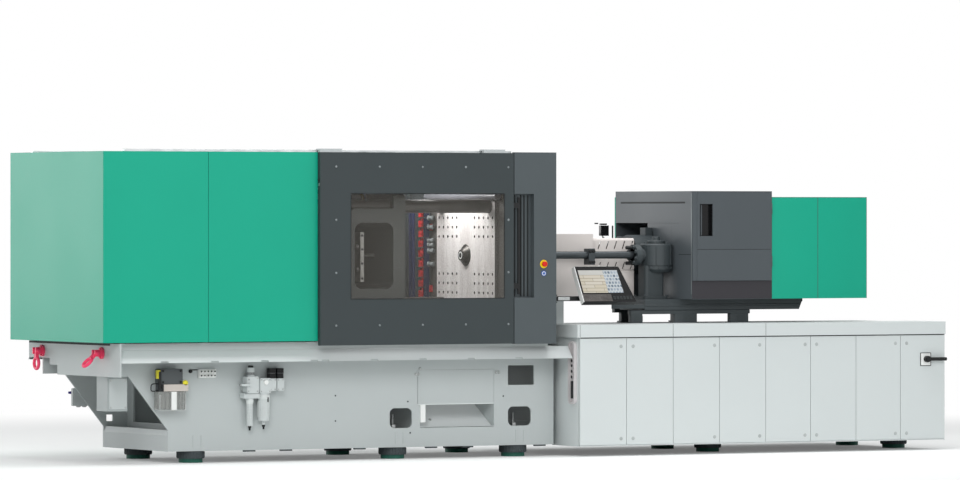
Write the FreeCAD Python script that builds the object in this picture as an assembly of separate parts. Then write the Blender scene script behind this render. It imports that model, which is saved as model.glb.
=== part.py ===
"""Horizontal injection moulding machine, free standing, about seven metres long.

X runs along the machine from the clamping end to the injection end, Y runs to the back
and Z runs up from the floor. Every length along the machine is measured from the mould
face of the fixed platen, and the finished solids are moved by datum_x, so that the origin
lies on the floor under the middle of the machine. Millimetres.
"""
import FreeCAD, Part
import math
import os

Vector = FreeCAD.Vector

# ---------------------------------------------------------------- driving dimensions
datum_x = -169.5          # the fixed platen's mould face in the finished frame
centre_z = 1490.0         # height of the mould and screw centre line
clearance = 0.3           # between a moving piece and its flat seat
running = 0.1             # radial, between a sliding rod and its bore
sheet = 3.0               # covers and doors

# floor and base of the clamping side
foot_height = 85.0
foot_radius = 100.0
foot_rim_radius = 87.0
foot_rim_height = 30.0
foot_rows = [(-2500.0, 440.0), (-850.0, 440.0), (160.0, 440.0)]
bed_feet = [(1900.0, 340.0), (3560.0, 340.0)]
base_half = 550.0         # outer faces of the welded side plates
base_wall = 15.0
rib_gauge = 12.0
base_right = 446.0
base_toe = -2735.0        # foot of the sloping end
base_toe_z = 240.0
base_heel = -3050.0       # top of the sloping end
base_heel_z = 630.0
toe_gauge = 10.0          # folded cross sheet at the toe
toe_lip = 40.0
toe_step = 12.0
toe_hole = (-2713.0, -2660.0, 275.0, 323.0)    # square hole in the rear side plate
deck_z = 820.0
deck_wall = 20.0
deck_half = 725.0
beam_left = -3234.0       # outer face of the upper end beam
beam_top = 870.0
beam_wall = 12.0
beam_rear = 760.0
beam_steps = [(265.0, 700.0), (400.0, 748.0)]  # where the beam's lower edge steps up, in Y and Z
inner_wall_x = -2545.0
wall_window = (430.0, 270.0, 720.0)            # half width, floor and roof of the hole in it
rib_window = (380.0, 250.0, 650.0)
rib_inset = 100.0         # ribs nearer to the chute than this stay closed
first_rib_x = -1700.0
chute_left = -677.0
chute_right = -58.0
chute_sill = 226.0
chute_head = 394.0
chute_cover_top = 651.0
chute_step = 23.0         # the mouth's upper half reaches this far past the lower
chute_plate_gap = 1.5
chute_high = 700.0        # upper end of the slope
chute_back = 60.0         # upright back of the slope
chute_gauge = 3.0
drop_half = 300.0         # opening in the deck under the mould
drop_margin = 8.0
port_corner = 40.0
port_a = (-930.0, -744.0, 226.0, 372.0)
port_b = (60.0, 255.0, 229.0, 371.0)
port_c = (60.0, 280.0, 531.0, 676.0)
ledge_half = 800.0
ledge_foot_z = 730.0
ledge_right = 470.0
ledge_gauge = 4.0
ledge_lip = 40.0
ledge_hem = 60.0
drain_runs = [(-2878.0, 4), (-1584.0, 5)]      # first drain slot and count of each front sheet
drain_pitch = 401.0
drain_length = 60.0
drain_height = 11.0

# covers and guard
cover_left = -3366.0
cover_right = -1650.0
cover_seam = -2531.0
seam_gap = 3.0
cover_half = 800.0
cover_floor = 877.0
cover_roof = 2247.0
tube = 60.0               # square tube of the guard frame
tube_half = 745.0         # outer face of the guard frame's tubes
sill_top = 870.0
roof_seat = 10.0          # how far the roof sheet lies on its first cross tube
cover_hem = 30.0          # folded edge along the foot of a cover
door_front = 840.0        # distance of the door's outer face from the centre plane
door_depth = 35.0
door_left = cover_right
door_right = -50.0
door_floor = 844.0
door_drop = 1.0           # the door's top edge under the cover's
door_roof = cover_roof - door_drop
door_travel = 1450.0
window_left = -1403.0
window_right = -123.0
window_floor = 1175.0
window_roof = 1951.0
window_gauge = 6.0
window_lap = 20.0
hanger_length = 180.0     # hooks that carry a door on its rail
hanger_inset = 70.0
hanger_gauge = 10.0
post_left = -44.0
post_right = 309.0
frame_right = post_right - 9.0                 # outer face of the frame's last tubes
post_flange = 69.0
post_floor = 841.0
post_rise = 6.0
post_roof = cover_roof + post_rise
pocket_right = 121.0
pocket_floor = 1182.0
pocket_roof = 1946.0
pocket_depth = 52.0
grip_x = 0.0
grip_radius = 11.0
grip_inset = 25.0         # between the grip's ends and the pocket's
grip_stay = 40.0
rail_beyond = 100.0       # rail left beyond an open door
rail_left = door_left - door_travel - rail_beyond
rail_width = 30.0
rail_height = 15.0
estop_x = 202.0
estop_z = 1429.0
estop_radius = 20.0
estop_reach = 26.0
estop_gauge = 16.0
estop_stem = 11.4
button_z = 1360.0
button_radius = 9.4
button_reach = 7.0

# clamping unit
platen_half = 600.0
platen_depth = 300.0
face_half = 455.0
face_step = 25.0
tie_offset = 365.0
tie_radius = 50.0
nut_radius = 80.0
nut_length = 80.0
hole_pitch = 70.0
hole_radius = 11.0
hole_depth = 40.0
register_radius = 81.5
register_depth = 30.0
rear_bore = 100.0
throat_radius = 65.0
platen_round = 60.0
platen_foot = (480.0, 100.0)                   # place and half width of a foot, in Y
foot_overlap = 80.0
daylight = 750.0
moving_plate = 100.0
moving_depth = 520.0
moving_body_half_z = 350.0
pocket_height = 485.0
pocket_length = 320.0
pocket_round = 60.0
ram_radius = 150.0
ram_length = 1840.0
end_platen_left = -2950.0
end_platen_depth = 300.0
end_platen_half = 500.0
end_platen_round = 90.0
end_foot = (400.0, 80.0)
cylinder_radius = 200.0
cylinder_left = -3320.0
cylinder_floor = 40.0
platen_open = 150.0       # travel of the moving platen away from rest, opening
platen_close = 400.0      # and closing
slide_rail_half = 40.0
slide_rail_y = 410.0
slide_rail_spare = 60.0   # rail left beyond the platen's travel
ejector_gauge = 30.0
ejector_back = 55.0       # from the pocket's back wall to the plate
ejector_height = 365.0
ejector_floor = 1300.0
ejector_inset = 15.0
ejector_rod = 15.0
ejector_pitch = 140.0
ejector_slots = [1395.0, 1560.0]
ejector_slot_radius = 20.0
top_cylinder_radius = 45.0
top_cylinder_length = 620.0
top_cylinder_z = 1903.0
gland_length = 40.0
gland_radius = 53.0
nose_radius = 40.0
nose_reach = 44.0
nose_bore = 17.0
manifold_x = -90.0        # front of the cooling water couplings
manifold_post = (-68.0, -30.0)
manifold_y = (560.0, 598.0)
manifold_floor = 1171.0
coupling_pitch = 75.0
coupling_count = 9
coupling_size = (26.0, 30.0, 52.0)

# injection side
bed_left = 504.0
bed_right = 3702.0
bed_half = 430.0
bed_top = 970.0
bed_wall = 12.0
bed_end = 40.0            # the bed stops this far before the cabinet's end
bed_plate = (120.0, 90.0)                      # half sizes of the plates over its feet
rear_cabinet = 800.0
rear_cabinet_top = 940.0
riser_right = 606.0
riser_top = 1160.0
riser_inset = 10.0
cabinet_front = 850.0
cabinet_floor = 82.0
cabinet_head = 877.0
cabinet_sheet = 3.0
cabinet_rim = 6.0         # gauge of the cabinet's floor and head
door_sheet = 18.0
door_hem = 16.0
door_skin = 2.0
door_gap = 4.0
door_post = (12.0, 25.0)                       # half width and depth of the posts between doors
frame_setback = 4.0       # door back to frame front, filled by a seal
seams = [bed_left, 901.0, 1302.0, 1703.0, 2107.0, 2502.0, 2905.0, 3302.0, bed_right]
hinge_left = [True, False, True, True, True, False, True, False]
hinge_inset = 6.0
hinge_skin = 4.0          # hinge axis behind the door's outer face
hinge_pin = 3.0
hinge_pin_length = 2.6
switch_x = 3533.0
switch_z = 693.0
switch_grip = (20.0, 162.0, 13.0)              # grip left and right of the spindle, half height
band_left = 480.0
band_front = 856.0
band_top = 978.0
band_wall = 10.0
socket_frame = (-805.0, -707.0, 388.0, 854.0)  # of the cable guard, in Y and Z
socket_frame_depth = 24.0
socket_frame_wall = 14.0
socket_frame_round = 40.0
socket_y = -756.0
socket_heights = [590.0, 632.0, 674.0, 710.0]
socket_radius = 13.0
column_y = 270.0
column_radius = 28.0
column_end = 1900.0
collar_x = 985.0
collar_radius = 44.0
collar_length = 95.0
collar_grooves = [28.0, 60.0]
collar_groove = (7.0, 6.0)                     # width and depth
column_flange = (30.0, 55.0)                   # thickness and radius
purge_gap = 90.0          # from a column's centre line to the guard's side
purge_half = column_y - purge_gap
purge_floor = 1164.0
purge_roof = 1648.0
purge_right = 994.0
barrel_radius = 75.0
barrel_left = 60.0
barrel_flange = 110.0
nozzle_bore = 3.0
nozzle_radius = 14.0
melt_length = 60.0        # from the barrel's end to its full bore
screw_radius = 35.0
screw_tip = 2.0
journal_radius = 27.0
shroud_half = 126.0
shroud_left = 1024.0
shroud_right = 1381.0
shroud_gauge = 2.0
shroud_round = 20.0
shroud_slots = 5
shroud_slot_pitch = 70.0
shroud_slot_width = 9.0
shroud_slot_lean = 21.0
shroud_slot_rows = [(-108.0, -55.0), (45.0, 104.0)]
drum_x = 1490.0
drum_radius = 125.0
drum_floor = 1360.0
drum_roof = 1575.0
drum_ring = 50.0          # height of the bolted ring under a drum
drum_ring_radius = 119.0
drum_edge = 10.0
leg_x = (1362.0, 1528.0)
leg_half = 62.0
leg_round = 24.0
leg_foot = 22.0
boss_x = (1285.0, 1410.0)
boss_radius = 48.0
core_radius = 150.0
bridge_half_z = 70.0
lug_z = (120.0, 205.0)
lug_half = 40.0
housing_left = 1395.0
housing_right = 1590.0
leg_height = 75.0
way_floor = bed_top + leg_height
way_height = 30.0
carriage_floor = way_floor + way_height
carriage_height = 82.0
carriage_top = carriage_floor + carriage_height
carriage_half = 430.0
carriage_left = 1300.0
carriage_tip = 950.0
carriage_right = 2650.0
carriage_wall = 60.0
carriage_skin = 25.0
carriage_end = 30.0       # the end face leans by this
tip_side = 410.0          # pointed front plate: half width, straight length, nose and thickness
tip_length = 200.0
tip_half = 150.0
tip_lift = 12.0
tip_gauge = 30.0
way_left = 1126.0
way_right = 2750.0
way_legs = [(1126.0, 1264.0), (1525.0, 1743.0), (2015.0, 2191.0)]
way_y = 400.0
way_half = 22.0
way_pad = (12.0, 30.0, 12.0)                   # overhang, half width and height of a leg's pad
hood_left = 1600.0
hood_right = 2303.0
hood_half = 615.0
hood_rear = 540.0
hood_floor = carriage_top
hood_roof = 1971.0
hood_sheet = 4.0
hood_mouth_roof = 1730.0
hood_mouth = 420.0
hood_door_left = 1640.0
hood_door_right = 2288.0
hood_door_floor = 1297.0
hood_door_roof = 1960.0
hood_door_gauge = 12.0
hood_hinges = (1400.0, 1800.0)
hinge_x = hood_door_right + 6
hinge_y = -hood_half - hood_door_gauge + 1
recess_left = 1664.0
recess_right = 1777.0
recess_floor = 1633.0
recess_roof = 1874.0
rear_hood_right = 3147.0
rear_hood_lift = 1.0
rear_hood_floor = carriage_top + rear_hood_lift
rear_hood_roof = 1927.0
yoke_left = 1960.0
yoke_depth = 80.0
yoke_half = 240.0
yoke_round = 50.0
yoke_travel = 300.0
motor_length = 190.0
motor_radius = 115.0
motor_cap = (25.0, 90.0)
guide_radius = 25.0
guide_offset = 170.0
guide_spare = 360.0       # guide left beyond the yoke's stroke
guide_right = yoke_left + yoke_depth + yoke_travel + guide_spare

# operator's panel
arm_x = 350.0
arm_y = -700.0
arm_z = 1170.0
arm_reach = 250.0
panel_left = 565.0
panel_low_y = -800.0
panel_low_z = 1145.0
panel_lean = 30.0
panel_height = 302.0
panel_top_width = 380.0
panel_low_width = 450.0
panel_depth = 45.0
panel_lugs = [100.0, 270.0]
lug_width = 22.0
tilt_pin = 8.0
hub_radius = 28.0
hub_half = 20.0
hub_pin = 12.0
arm_half = 15.0
arm_half_z = 18.0
arm_round = 6.0
bracket_gauge = 12.0

# services on the front of the base: left, right, floor and top
pump_box = (-2837.0, -2662.0, 574.0, 684.0)
pump_bar = (-2833.0, -2618.0, 521.0, 574.0)
pump_depth = 95.0
jar_box = (-2855.0, -2630.0, 390.0, 521.0)
jar_depth = 86.0
jar_wall = 4.0
jar_round = 18.0
air_plate = (-2150.0, -1860.0, 520.0, 560.0)
air_gauge = 12.0
air_regulator = (-2141.0, -2047.0, 500.0, 622.0)
air_oiler = (-2035.0, -1946.0, 500.0, 608.0)
air_strip = (-2163.0, -2038.0, 462.0, 500.0)
air_depth = 90.0
air_line = 50.0           # the bowls and the knob stand this far from the base
filter_bowl = (-2102.0, 262.0, 24.0)           # X, foot and radius
oiler_bowl = (-1990.0, 298.0, 42.0)
oiler_drain = (270.0, 12.0)
valve_places = [-1925.0, -1862.0]
valve_half = 28.0
valve_box = (515.0, 605.0)
valve_head = (22.0, 672.0)
knob_x = -2094.0
knob_radius = 27.0
knob_top = 685.0
spindle_radius = 8.0
lever_x = -2120.0
lever_z = 560.0
lever_length = 70.0
terminal_box = (-3200.0, -3040.0, -520.0, -330.0)   # in X and Y
terminal_floor = 380.0
terminal_hook = (-3222.0, -500.0, -350.0)
eye_places = [520.0, -500.0]
eye_swings = [0.0, 45.0]
eye_z = 800.0
eye_pin_x = beam_left - 50.0
eye_pin = 10.0
eye_plate = 42.0
eye_cheek = (24.0, 6.0)                        # place and half gauge
ring_radius = 40.0
ring_bar = 12.0

# ------------------------------------------------------------------------- helpers


def block(x0, x1, y0, y1, z0, z1):
    """A rectangular block between two corners."""
    return Part.makeBox(x1 - x0, y1 - y0, z1 - z0, Vector(x0, y0, z0))


def round_x(x0, x1, y, z, radius):
    """A round bar along X."""
    return Part.makeCylinder(radius, x1 - x0, Vector(x0, y, z), Vector(1, 0, 0))


def round_y(y0, y1, x, z, radius):
    """A round bar along Y."""
    return Part.makeCylinder(radius, y1 - y0, Vector(x, y0, z), Vector(0, 1, 0))


def round_z(z0, z1, x, y, radius):
    """A round bar along Z."""
    return Part.makeCylinder(radius, z1 - z0, Vector(x, y, z0), Vector(0, 0, 1))


def outline(points):
    """A flat face inside a closed line of points."""
    return Part.Face(Part.makePolygon([Vector(*p) for p in points] + [Vector(*points[0])]))


def slab_xz(points, y0, y1):
    """An outline drawn in X and Z, carried from y0 to y1."""
    return outline([(x, y0, z) for x, z in points]).extrude(Vector(0, y1 - y0, 0))


def bar_yz(points, x0, x1):
    """An outline drawn in Y and Z, carried from x0 to x1."""
    return outline([(x0, y, z) for y, z in points]).extrude(Vector(x1 - x0, 0, 0))


def plate_xy(points, z0, z1):
    """An outline drawn in X and Y, carried from z0 to z1."""
    return outline([(x, y, z0) for x, y in points]).extrude(Vector(0, 0, z1 - z0))


def fold(path, gauge):
    """The outline of a sheet folded along a path of (u, v) points, gauge to its left."""
    lines = []
    for (u0, v0), (u1, v1) in zip(path, path[1:]):
        length = math.hypot(u1 - u0, v1 - v0)
        du = (u1 - u0) / length
        dv = (v1 - v0) / length
        lines.append((u0 - dv * gauge, v0 + du * gauge, du, dv))
    inner = [(lines[0][0], lines[0][1])]
    for (ua, va, dua, dva), (ub, vb, dub, dvb) in zip(lines, lines[1:]):
        along = ((ub - ua) * dvb - (vb - va) * dub) / (dua * dvb - dva * dub)
        inner.append((ua + dua * along, va + dva * along))
    ub, vb, dub, dvb = lines[-1]
    length = math.hypot(path[-1][0] - path[-2][0], path[-1][1] - path[-2][1])
    inner.append((ub + dub * length, vb + dvb * length))
    return list(path) + inner[::-1]


def rounded(x0, x1, y0, y1, z0, z1, radius, direction):
    """A block whose four edges along one direction are rounded."""
    shape = block(x0, x1, y0, y1, z0, z1)
    edges = [e for e in shape.Edges if abs(e.tangentAt(e.FirstParameter).dot(direction)) > 0.99]
    return shape.makeFillet(radius, edges)


def other_side(shape):
    """The same shape on the far side of the machine."""
    return shape.mirror(Vector(0, 0, 0), Vector(0, 1, 0))


def joined(*shapes):
    """One solid from shapes that touch or cross."""
    return shapes[0].fuse(list(shapes[1:])).removeSplitter()


def less(shape, *tools):
    """The shape with every tool cut away."""
    return shape.cut(list(tools))


def four(make):
    """What make(y, z) gives at each of the four tie bars."""
    return [make(sy * tie_offset, centre_z + sz * tie_offset) for sy in (-1, 1) for sz in (-1, 1)]


def write(name, *solids):
    """Moves the solids to the finished frame and writes them as one file."""
    shape = solids[0] if len(solids) == 1 else Part.makeCompound(list(solids))
    shape = shape.copy()
    shape.translate(Vector(datum_x, 0, 0))
    shape.exportStep("parts/" + name + ".step")


# -------------------------------------------------------------- base of the clamping side


def side_plate(front):
    """One welded side plate with its sloping end and its ports."""
    low = foot_height
    points = [
        (base_toe, low), (base_right, low), (base_right, deck_z - deck_wall),
        (beam_left + beam_wall, deck_z - deck_wall), (beam_left + beam_wall, base_heel_z),
        (base_heel, base_heel_z), (base_toe, base_toe_z),
    ]
    plate = slab_xz(points, -base_half, -base_half + base_wall)
    reach = (-base_half - 1, -base_half + base_wall + 1)
    along_y = Vector(0, 1, 0)
    for x0, x1, z0, z1 in (port_a, port_b, port_c):
        radius = port_corner if z0 < 300 else port_corner / 4
        plate = plate.cut(rounded(x0, x1, reach[0], reach[1], z0, z1, radius, along_y))
    if not front:
        x0, x1, z0, z1 = toe_hole
        return other_side(plate.cut(block(x0, x1, reach[0], reach[1], z0, z1)))
    mouth = block(chute_left, chute_right, reach[0], reach[1], chute_sill, chute_head)
    upper = block(chute_left - chute_step, chute_right, reach[0], reach[1],
                  chute_head - 1, chute_cover_top)
    return less(plate, mouth, upper)


def base_frame():
    """The welded base under the clamping unit, with its deck and end beams."""
    inside = base_half - base_wall
    front = side_plate(True)
    rear = side_plate(False)
    deck = block(beam_left + beam_wall, base_right, -deck_half, deck_half, deck_z - deck_wall, deck_z)
    deck = deck.cut(block(chute_left - chute_step, chute_right + drop_margin, -drop_half, drop_half,
                          deck_z - deck_wall - 1, deck_z + 1))
    (step_y, step_z), (end_y, end_z) = beam_steps
    beam_outline = [
        (-ledge_half, base_heel_z), (step_y, base_heel_z), (step_y, step_z), (end_y, step_z),
        (end_y, end_z), (beam_rear, end_z), (beam_rear, beam_top), (-ledge_half, beam_top),
    ]
    beam = bar_yz(beam_outline, beam_left, beam_left + beam_wall)
    toe = fold([(base_toe + toe_lip, foot_height), (base_toe, foot_height),
                (base_toe, base_toe_z - toe_lip), (base_toe + toe_step, base_toe_z),
                (base_toe + toe_step + toe_lip, base_toe_z)], -toe_gauge)
    toe_beam = slab_xz(toe, -inside, inside)
    half, low, high = wall_window
    wall = block(inner_wall_x, inner_wall_x + base_wall, -inside, inside, foot_height, deck_z - deck_wall)
    wall = wall.cut(block(inner_wall_x - 1, inner_wall_x + base_wall + 1, -half, half, low, high))
    half, low, high = rib_window
    ribs = []
    for x in (first_rib_x, chute_left - rib_gauge, chute_right, base_right - rib_gauge):
        rib = block(x, x + rib_gauge, -inside, inside, foot_height, deck_z - deck_wall)
        if x < chute_left - rib_inset or x > chute_right + rib_inset:
            rib = rib.cut(block(x - 1, x + rib_gauge + 1, -half, half, low, high))
        ribs.append(rib)
    rail_start = -daylight - moving_depth - platen_open - slide_rail_spare
    rail_end = -daylight + platen_close + slide_rail_spare
    rails = []
    for side in (-1, 1):
        y = side * slide_rail_y
        rails.append(block(rail_start, rail_end, y - slide_rail_half, y + slide_rail_half,
                           deck_z, sill_top))
    write("base_frame", joined(front, rear, deck, beam, toe_beam, wall, *ribs, *rails))


def parts_chute():
    """The sloping sheet that leads mouldings to the front, and the plate over its mouth."""
    inside = base_half - base_wall
    lip_z = chute_sill + chute_gauge + 1
    slope = fold([(-base_half + 2, lip_z), (-inside + 2 * base_wall, lip_z),
                  (drop_half, chute_high), (drop_half, chute_high + chute_back)], chute_gauge)
    sheet_metal = bar_yz(slope, chute_left, chute_right)
    plate = block(chute_left - chute_step + chute_plate_gap, chute_right - chute_plate_gap,
                  -base_half + 1, -inside, chute_head, chute_cover_top - chute_plate_gap)
    write("parts_chute", sheet_metal, plate)


def side_ledges():
    """The sloping sheets along both top edges of the base, with drain slots over their foot."""
    path = [(-ledge_half + ledge_lip, ledge_foot_z), (-ledge_half, ledge_foot_z),
            (-deck_half, deck_z), (-deck_half, deck_z - ledge_hem)]
    sheet_metal = bar_yz(fold(path, -ledge_gauge), beam_left + beam_wall, ledge_right)
    slots = [block(first + i * drain_pitch - drain_length / 2, first + i * drain_pitch + drain_length / 2,
                   -ledge_half - 1, -ledge_half + ledge_lip / 2,
                   ledge_foot_z - 1, ledge_foot_z + drain_height)
             for first, count in drain_runs for i in range(count)]
    write("side_ledges", less(sheet_metal, *slots), other_side(sheet_metal))


def machine_feet():
    """Levelling feet: a stepped pad that carries the base."""
    feet = []
    for x, y in foot_rows + bed_feet:
        for side in (-1, 1):
            top = cabinet_floor - cabinet_rim if x > bed_left else foot_height
            pad = joined(round_z(0, foot_rim_height, x, side * y, foot_rim_radius),
                         round_z(foot_rim_height, top, x, side * y, foot_radius))
            feet.append(pad)
    write("machine_feet", *feet)


# ----------------------------------------------------------------------- covers and guard


def cover_sheet(x0, x1):
    """One front sheet of the clamp cover, folded over the top to the middle."""
    path = [(-cover_half + cover_hem, cover_floor), (-cover_half, cover_floor),
            (-cover_half, cover_roof), (-0.5, cover_roof)]
    return bar_yz(fold(path, -sheet), x0, x1)


def clamp_covers():
    """Four folded sheets over the clamping unit, two in front and two behind."""
    left = cover_sheet(cover_left + sheet, cover_seam - seam_gap / 2)
    right = cover_sheet(cover_seam + seam_gap / 2, cover_right)
    write("clamp_covers", left, right, other_side(left), other_side(right))


def clamp_cover_end():
    """The sheet that closes the left end of the clamp cover."""
    panel = block(cover_left, cover_left + sheet, -cover_half, cover_half, cover_floor, cover_roof)
    lip = block(cover_left + sheet, cover_left + cover_hem, -cover_half + 2 * cover_hem,
                cover_half - 2 * cover_hem, cover_floor, cover_floor + sheet)
    write("clamp_cover_end", joined(panel, lip))


def guard_frame():
    """Square tube frame round the clamping unit, with sills, posts and a roof sheet."""
    inner = tube_half - tube
    top = cover_roof - sheet
    pieces = []
    posts = [beam_left + beam_wall, cover_seam - tube / 2, cover_right - tube + roof_seat,
             frame_right - tube]
    for side in (-1, 1):
        y0, y1 = sorted((side * inner, side * tube_half))
        sill_y = sorted((side * inner, side * deck_half))
        pieces.append(block(posts[0], frame_right, y0, y1, top - tube, top))
        pieces.append(block(posts[0], frame_right, sill_y[0], sill_y[1], deck_z, sill_top))
        for x in posts:
            pieces.append(block(x, x + tube, y0, y1, sill_top, top - tube))
    for x in posts:
        pieces.append(block(x, x + tube, -inner, inner, top - tube, top))
    roof = block(cover_right, frame_right, -cover_half, cover_half, top, cover_roof)
    write("guard_frame", joined(*pieces, roof, panel_bracket()))


def post_panel(front):
    """The fixed panel beside the guard door, with the pocket that takes the door's grip."""
    y = -door_front
    back = -tube_half
    skin = block(post_left, post_right, y, y + sheet, post_floor, post_roof)
    right = block(post_right - sheet, post_right, y, back, post_floor, post_roof)
    flange = block(post_right - post_flange, post_right, back - sheet, back,
                   post_floor, cover_roof - 2 * sheet)
    left = block(post_left, post_left + sheet, y, y + door_depth, post_floor, post_roof)
    panel = joined(skin, right, flange, left)
    if not front:
        return other_side(panel)
    shell = block(post_left, pocket_right + sheet, y, y + pocket_depth,
                  pocket_floor - sheet, pocket_roof + sheet)
    hollow = block(post_left - 1, pocket_right, y - 1, y + pocket_depth - sheet, pocket_floor, pocket_roof)
    holes = [round_y(y - 1, y + sheet + 1, estop_x, estop_z, estop_stem + running),
             round_y(y - 1, y + sheet + 1, estop_x, button_z, button_radius + running)]
    return less(joined(panel, shell), hollow, *holes)


def post_panels():
    """The fixed panels in front and behind."""
    write("post_panels", post_panel(True), post_panel(False))


def door_rails():
    """Flat rails on the roof edge that carry the sliding doors."""
    front = block(rail_left, post_left - 6, -cover_half, -cover_half + rail_width,
                  cover_roof, cover_roof + rail_height)
    write("door_rails", front, other_side(front))


def guard_door(window):
    """A sliding guard door: a folded sheet with two hangers over its rail."""
    y = -door_front
    outer = block(door_left, door_right, y, y + door_depth, door_floor, door_roof)
    inner = block(door_left + sheet, door_right - sheet, y + sheet, y + door_depth + 1,
                  door_floor + sheet, door_roof - sheet)
    panel = outer.cut(inner)
    if window:
        panel = panel.cut(block(window_left, window_right, y - 1, y + sheet + 1,
                                window_floor, window_roof))
    seat = cover_roof + rail_height + clearance
    hangers = []
    for x in (door_left, door_right - hanger_inset - hanger_length):
        foot = block(x, x + hanger_length, y + sheet, -cover_half - 2 * sheet, door_roof, seat)
        arm = block(x, x + hanger_length, y + sheet, -cover_half + rail_width,
                    seat, seat + hanger_gauge)
        hangers.append(joined(foot, arm))
    return joined(panel, *hangers)


def guard_doors():
    """The front door with its pane and grip, and the closed rear door."""
    y = -door_front
    write("guard_door_panel", guard_door(True))
    write("rear_door_panel", other_side(guard_door(False)))
    pane = block(window_left - window_lap, window_right + window_lap, y + sheet,
                 y + sheet + window_gauge, window_floor - window_lap, window_roof + window_lap)
    write("guard_door_window", pane)
    low = pocket_floor + grip_inset
    high = pocket_roof - grip_inset
    grip = round_z(low, high, grip_x, y + 16, grip_radius)
    stays = [block(door_right, grip_x, y + 8, y + 24, z, z + grip_stay)
             for z in (low + grip_stay, high - 2 * grip_stay)]
    write("guard_door_handle", joined(grip, *stays))


def operator_buttons():
    """The stop mushroom and the push button under it."""
    y = -door_front
    face = y - estop_reach
    cap = round_y(face, face + estop_gauge, estop_x, estop_z, estop_radius)
    cap = cap.makeChamfer(estop_gauge / 4, [e for e in cap.Edges if e.Vertexes[0].Point.y < face + 1])
    stem = round_y(face + estop_gauge, y + estop_gauge, estop_x, estop_z, estop_stem)
    write("e_stop_button", joined(cap, stem))
    key = round_y(y - button_reach, y + estop_gauge, estop_x, button_z, button_radius)
    write("push_button", key)


# -------------------------------------------------------------------------- clamping unit


def platen_holes(face_x, direction):
    """The threaded holes of a mould mounting face: five columns by three rows, four times."""
    holes = []
    for row in (2, 3, 4):
        for column in (2, 3, 4, 5, 6):
            for sy in (-1, 1):
                for sz in (-1, 1):
                    y = sy * column * hole_pitch
                    z = centre_z + sz * row * hole_pitch
                    x0, x1 = sorted((face_x - direction, face_x + direction * hole_depth))
                    holes.append(round_x(x0, x1, y, z, hole_radius))
    return holes


def fixed_platen():
    """The cast fixed platen with its milled mounting face, on two feet."""
    casting = rounded(face_step, platen_depth, -platen_half, platen_half,
                      centre_z - platen_half, centre_z + platen_half, platen_round, Vector(1, 0, 0))
    face = block(0, face_step, -face_half, face_half, centre_z - face_half, centre_z + face_half)
    place, half = platen_foot
    feet = [block(face_step, platen_depth, side * place - half, side * place + half, deck_z,
                  centre_z - platen_half + foot_overlap) for side in (-1, 1)]
    body = joined(casting, face, *feet)
    bores = four(lambda y, z: round_x(-1, platen_depth + 1, y, z, tie_radius + clearance))
    centre = [round_x(-1, register_depth, 0, centre_z, register_radius + clearance),
              round_x(0, platen_depth, 0, centre_z, throat_radius),
              round_x(register_depth + 15, platen_depth + 1, 0, centre_z, rear_bore)]
    body = less(body, *bores, *centre)
    write("fixed_platen", less(body, *platen_holes(0, 1)))


def nozzle_cone():
    """The coned ring in the platen's centre bore, through which the nozzle reaches."""
    start = register_depth
    points = [
        (-nose_reach, nose_bore), (-nose_reach, nose_radius), (-nose_reach + 8, nose_radius + 2),
        (0, register_radius), (start, register_radius), (start, 60), (-6, 52), (-22, nose_bore),
    ]
    face = outline([(x, 0, centre_z + r) for x, r in points])
    write("nozzle_cone", face.revolve(Vector(0, 0, centre_z), Vector(1, 0, 0), 360))


def end_platen():
    """The platen at the clamping end, with the clamp cylinder cast on."""
    right = end_platen_left + end_platen_depth
    plate = rounded(end_platen_left, right, -end_platen_half, end_platen_half,
                    centre_z - end_platen_half, centre_z + end_platen_half, end_platen_round,
                    Vector(1, 0, 0))
    barrel = round_x(cylinder_left, end_platen_left, 0, centre_z, cylinder_radius)
    place, half = end_foot
    feet = [block(end_platen_left + 20, right - 20, side * place - half, side * place + half, deck_z,
                  centre_z - end_platen_half + end_platen_round + 10) for side in (-1, 1)]
    body = joined(plate, barrel, *feet)
    bore = round_x(cylinder_left + cylinder_floor, right + 1, 0, centre_z, ram_radius + running)
    ties = four(lambda y, z: round_x(end_platen_left - 1, right + 1, y, z, tie_radius + clearance))
    write("end_platen", less(body, bore, *ties))


def tie_bars():
    """Four tie bars with a round nut at each end."""
    bars = []
    left = end_platen_left - nut_length
    right = platen_depth + nut_length
    for y, z in four(lambda y, z: (y, z)):
        bars.append(joined(
            round_x(left, right, y, z, tie_radius),
            round_x(left, end_platen_left, y, z, nut_radius),
            round_x(platen_depth, right, y, z, nut_radius)))
    write("tie_bars", *bars)


def moving_platen():
    """The moving platen: a box casting with a side pocket, on two shoes."""
    face = -daylight
    plate_back = face - moving_plate
    back = face - moving_depth
    low = centre_z - moving_body_half_z
    high = centre_z + moving_body_half_z
    plate = rounded(plate_back, face, -face_half, face_half, centre_z - face_half,
                    centre_z + face_half, 40, Vector(1, 0, 0))
    side = [(back, low + 90), (back + 90, low), (plate_back, low), (plate_back, high),
            (back + 90, high), (back, high - 90)]
    body = slab_xz(side, -face_half, face_half)
    shoes = [block(back, face, side_y - slide_rail_half + 5, side_y + slide_rail_half - 5,
                   sill_top + clearance, low + 60) for side_y in (-slide_rail_y, slide_rail_y)]
    hollow = rounded(plate_back - pocket_length, plate_back, -face_half - 1, face_half + 1,
                     centre_z - pocket_height / 2, centre_z + pocket_height / 2,
                     pocket_round, Vector(0, 1, 0))
    bores = four(lambda y, z: round_x(back - 1, face + 1, y, z, tie_radius + running))
    rods = [round_x(plate_back - 1, face + 1, y, centre_z, ejector_rod + running)
            for y in (-ejector_pitch, 0, ejector_pitch)]
    casting = joined(plate, body, *shoes)
    write("moving_platen", less(casting, hollow, *bores, *rods, *platen_holes(face, -1)))


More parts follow.
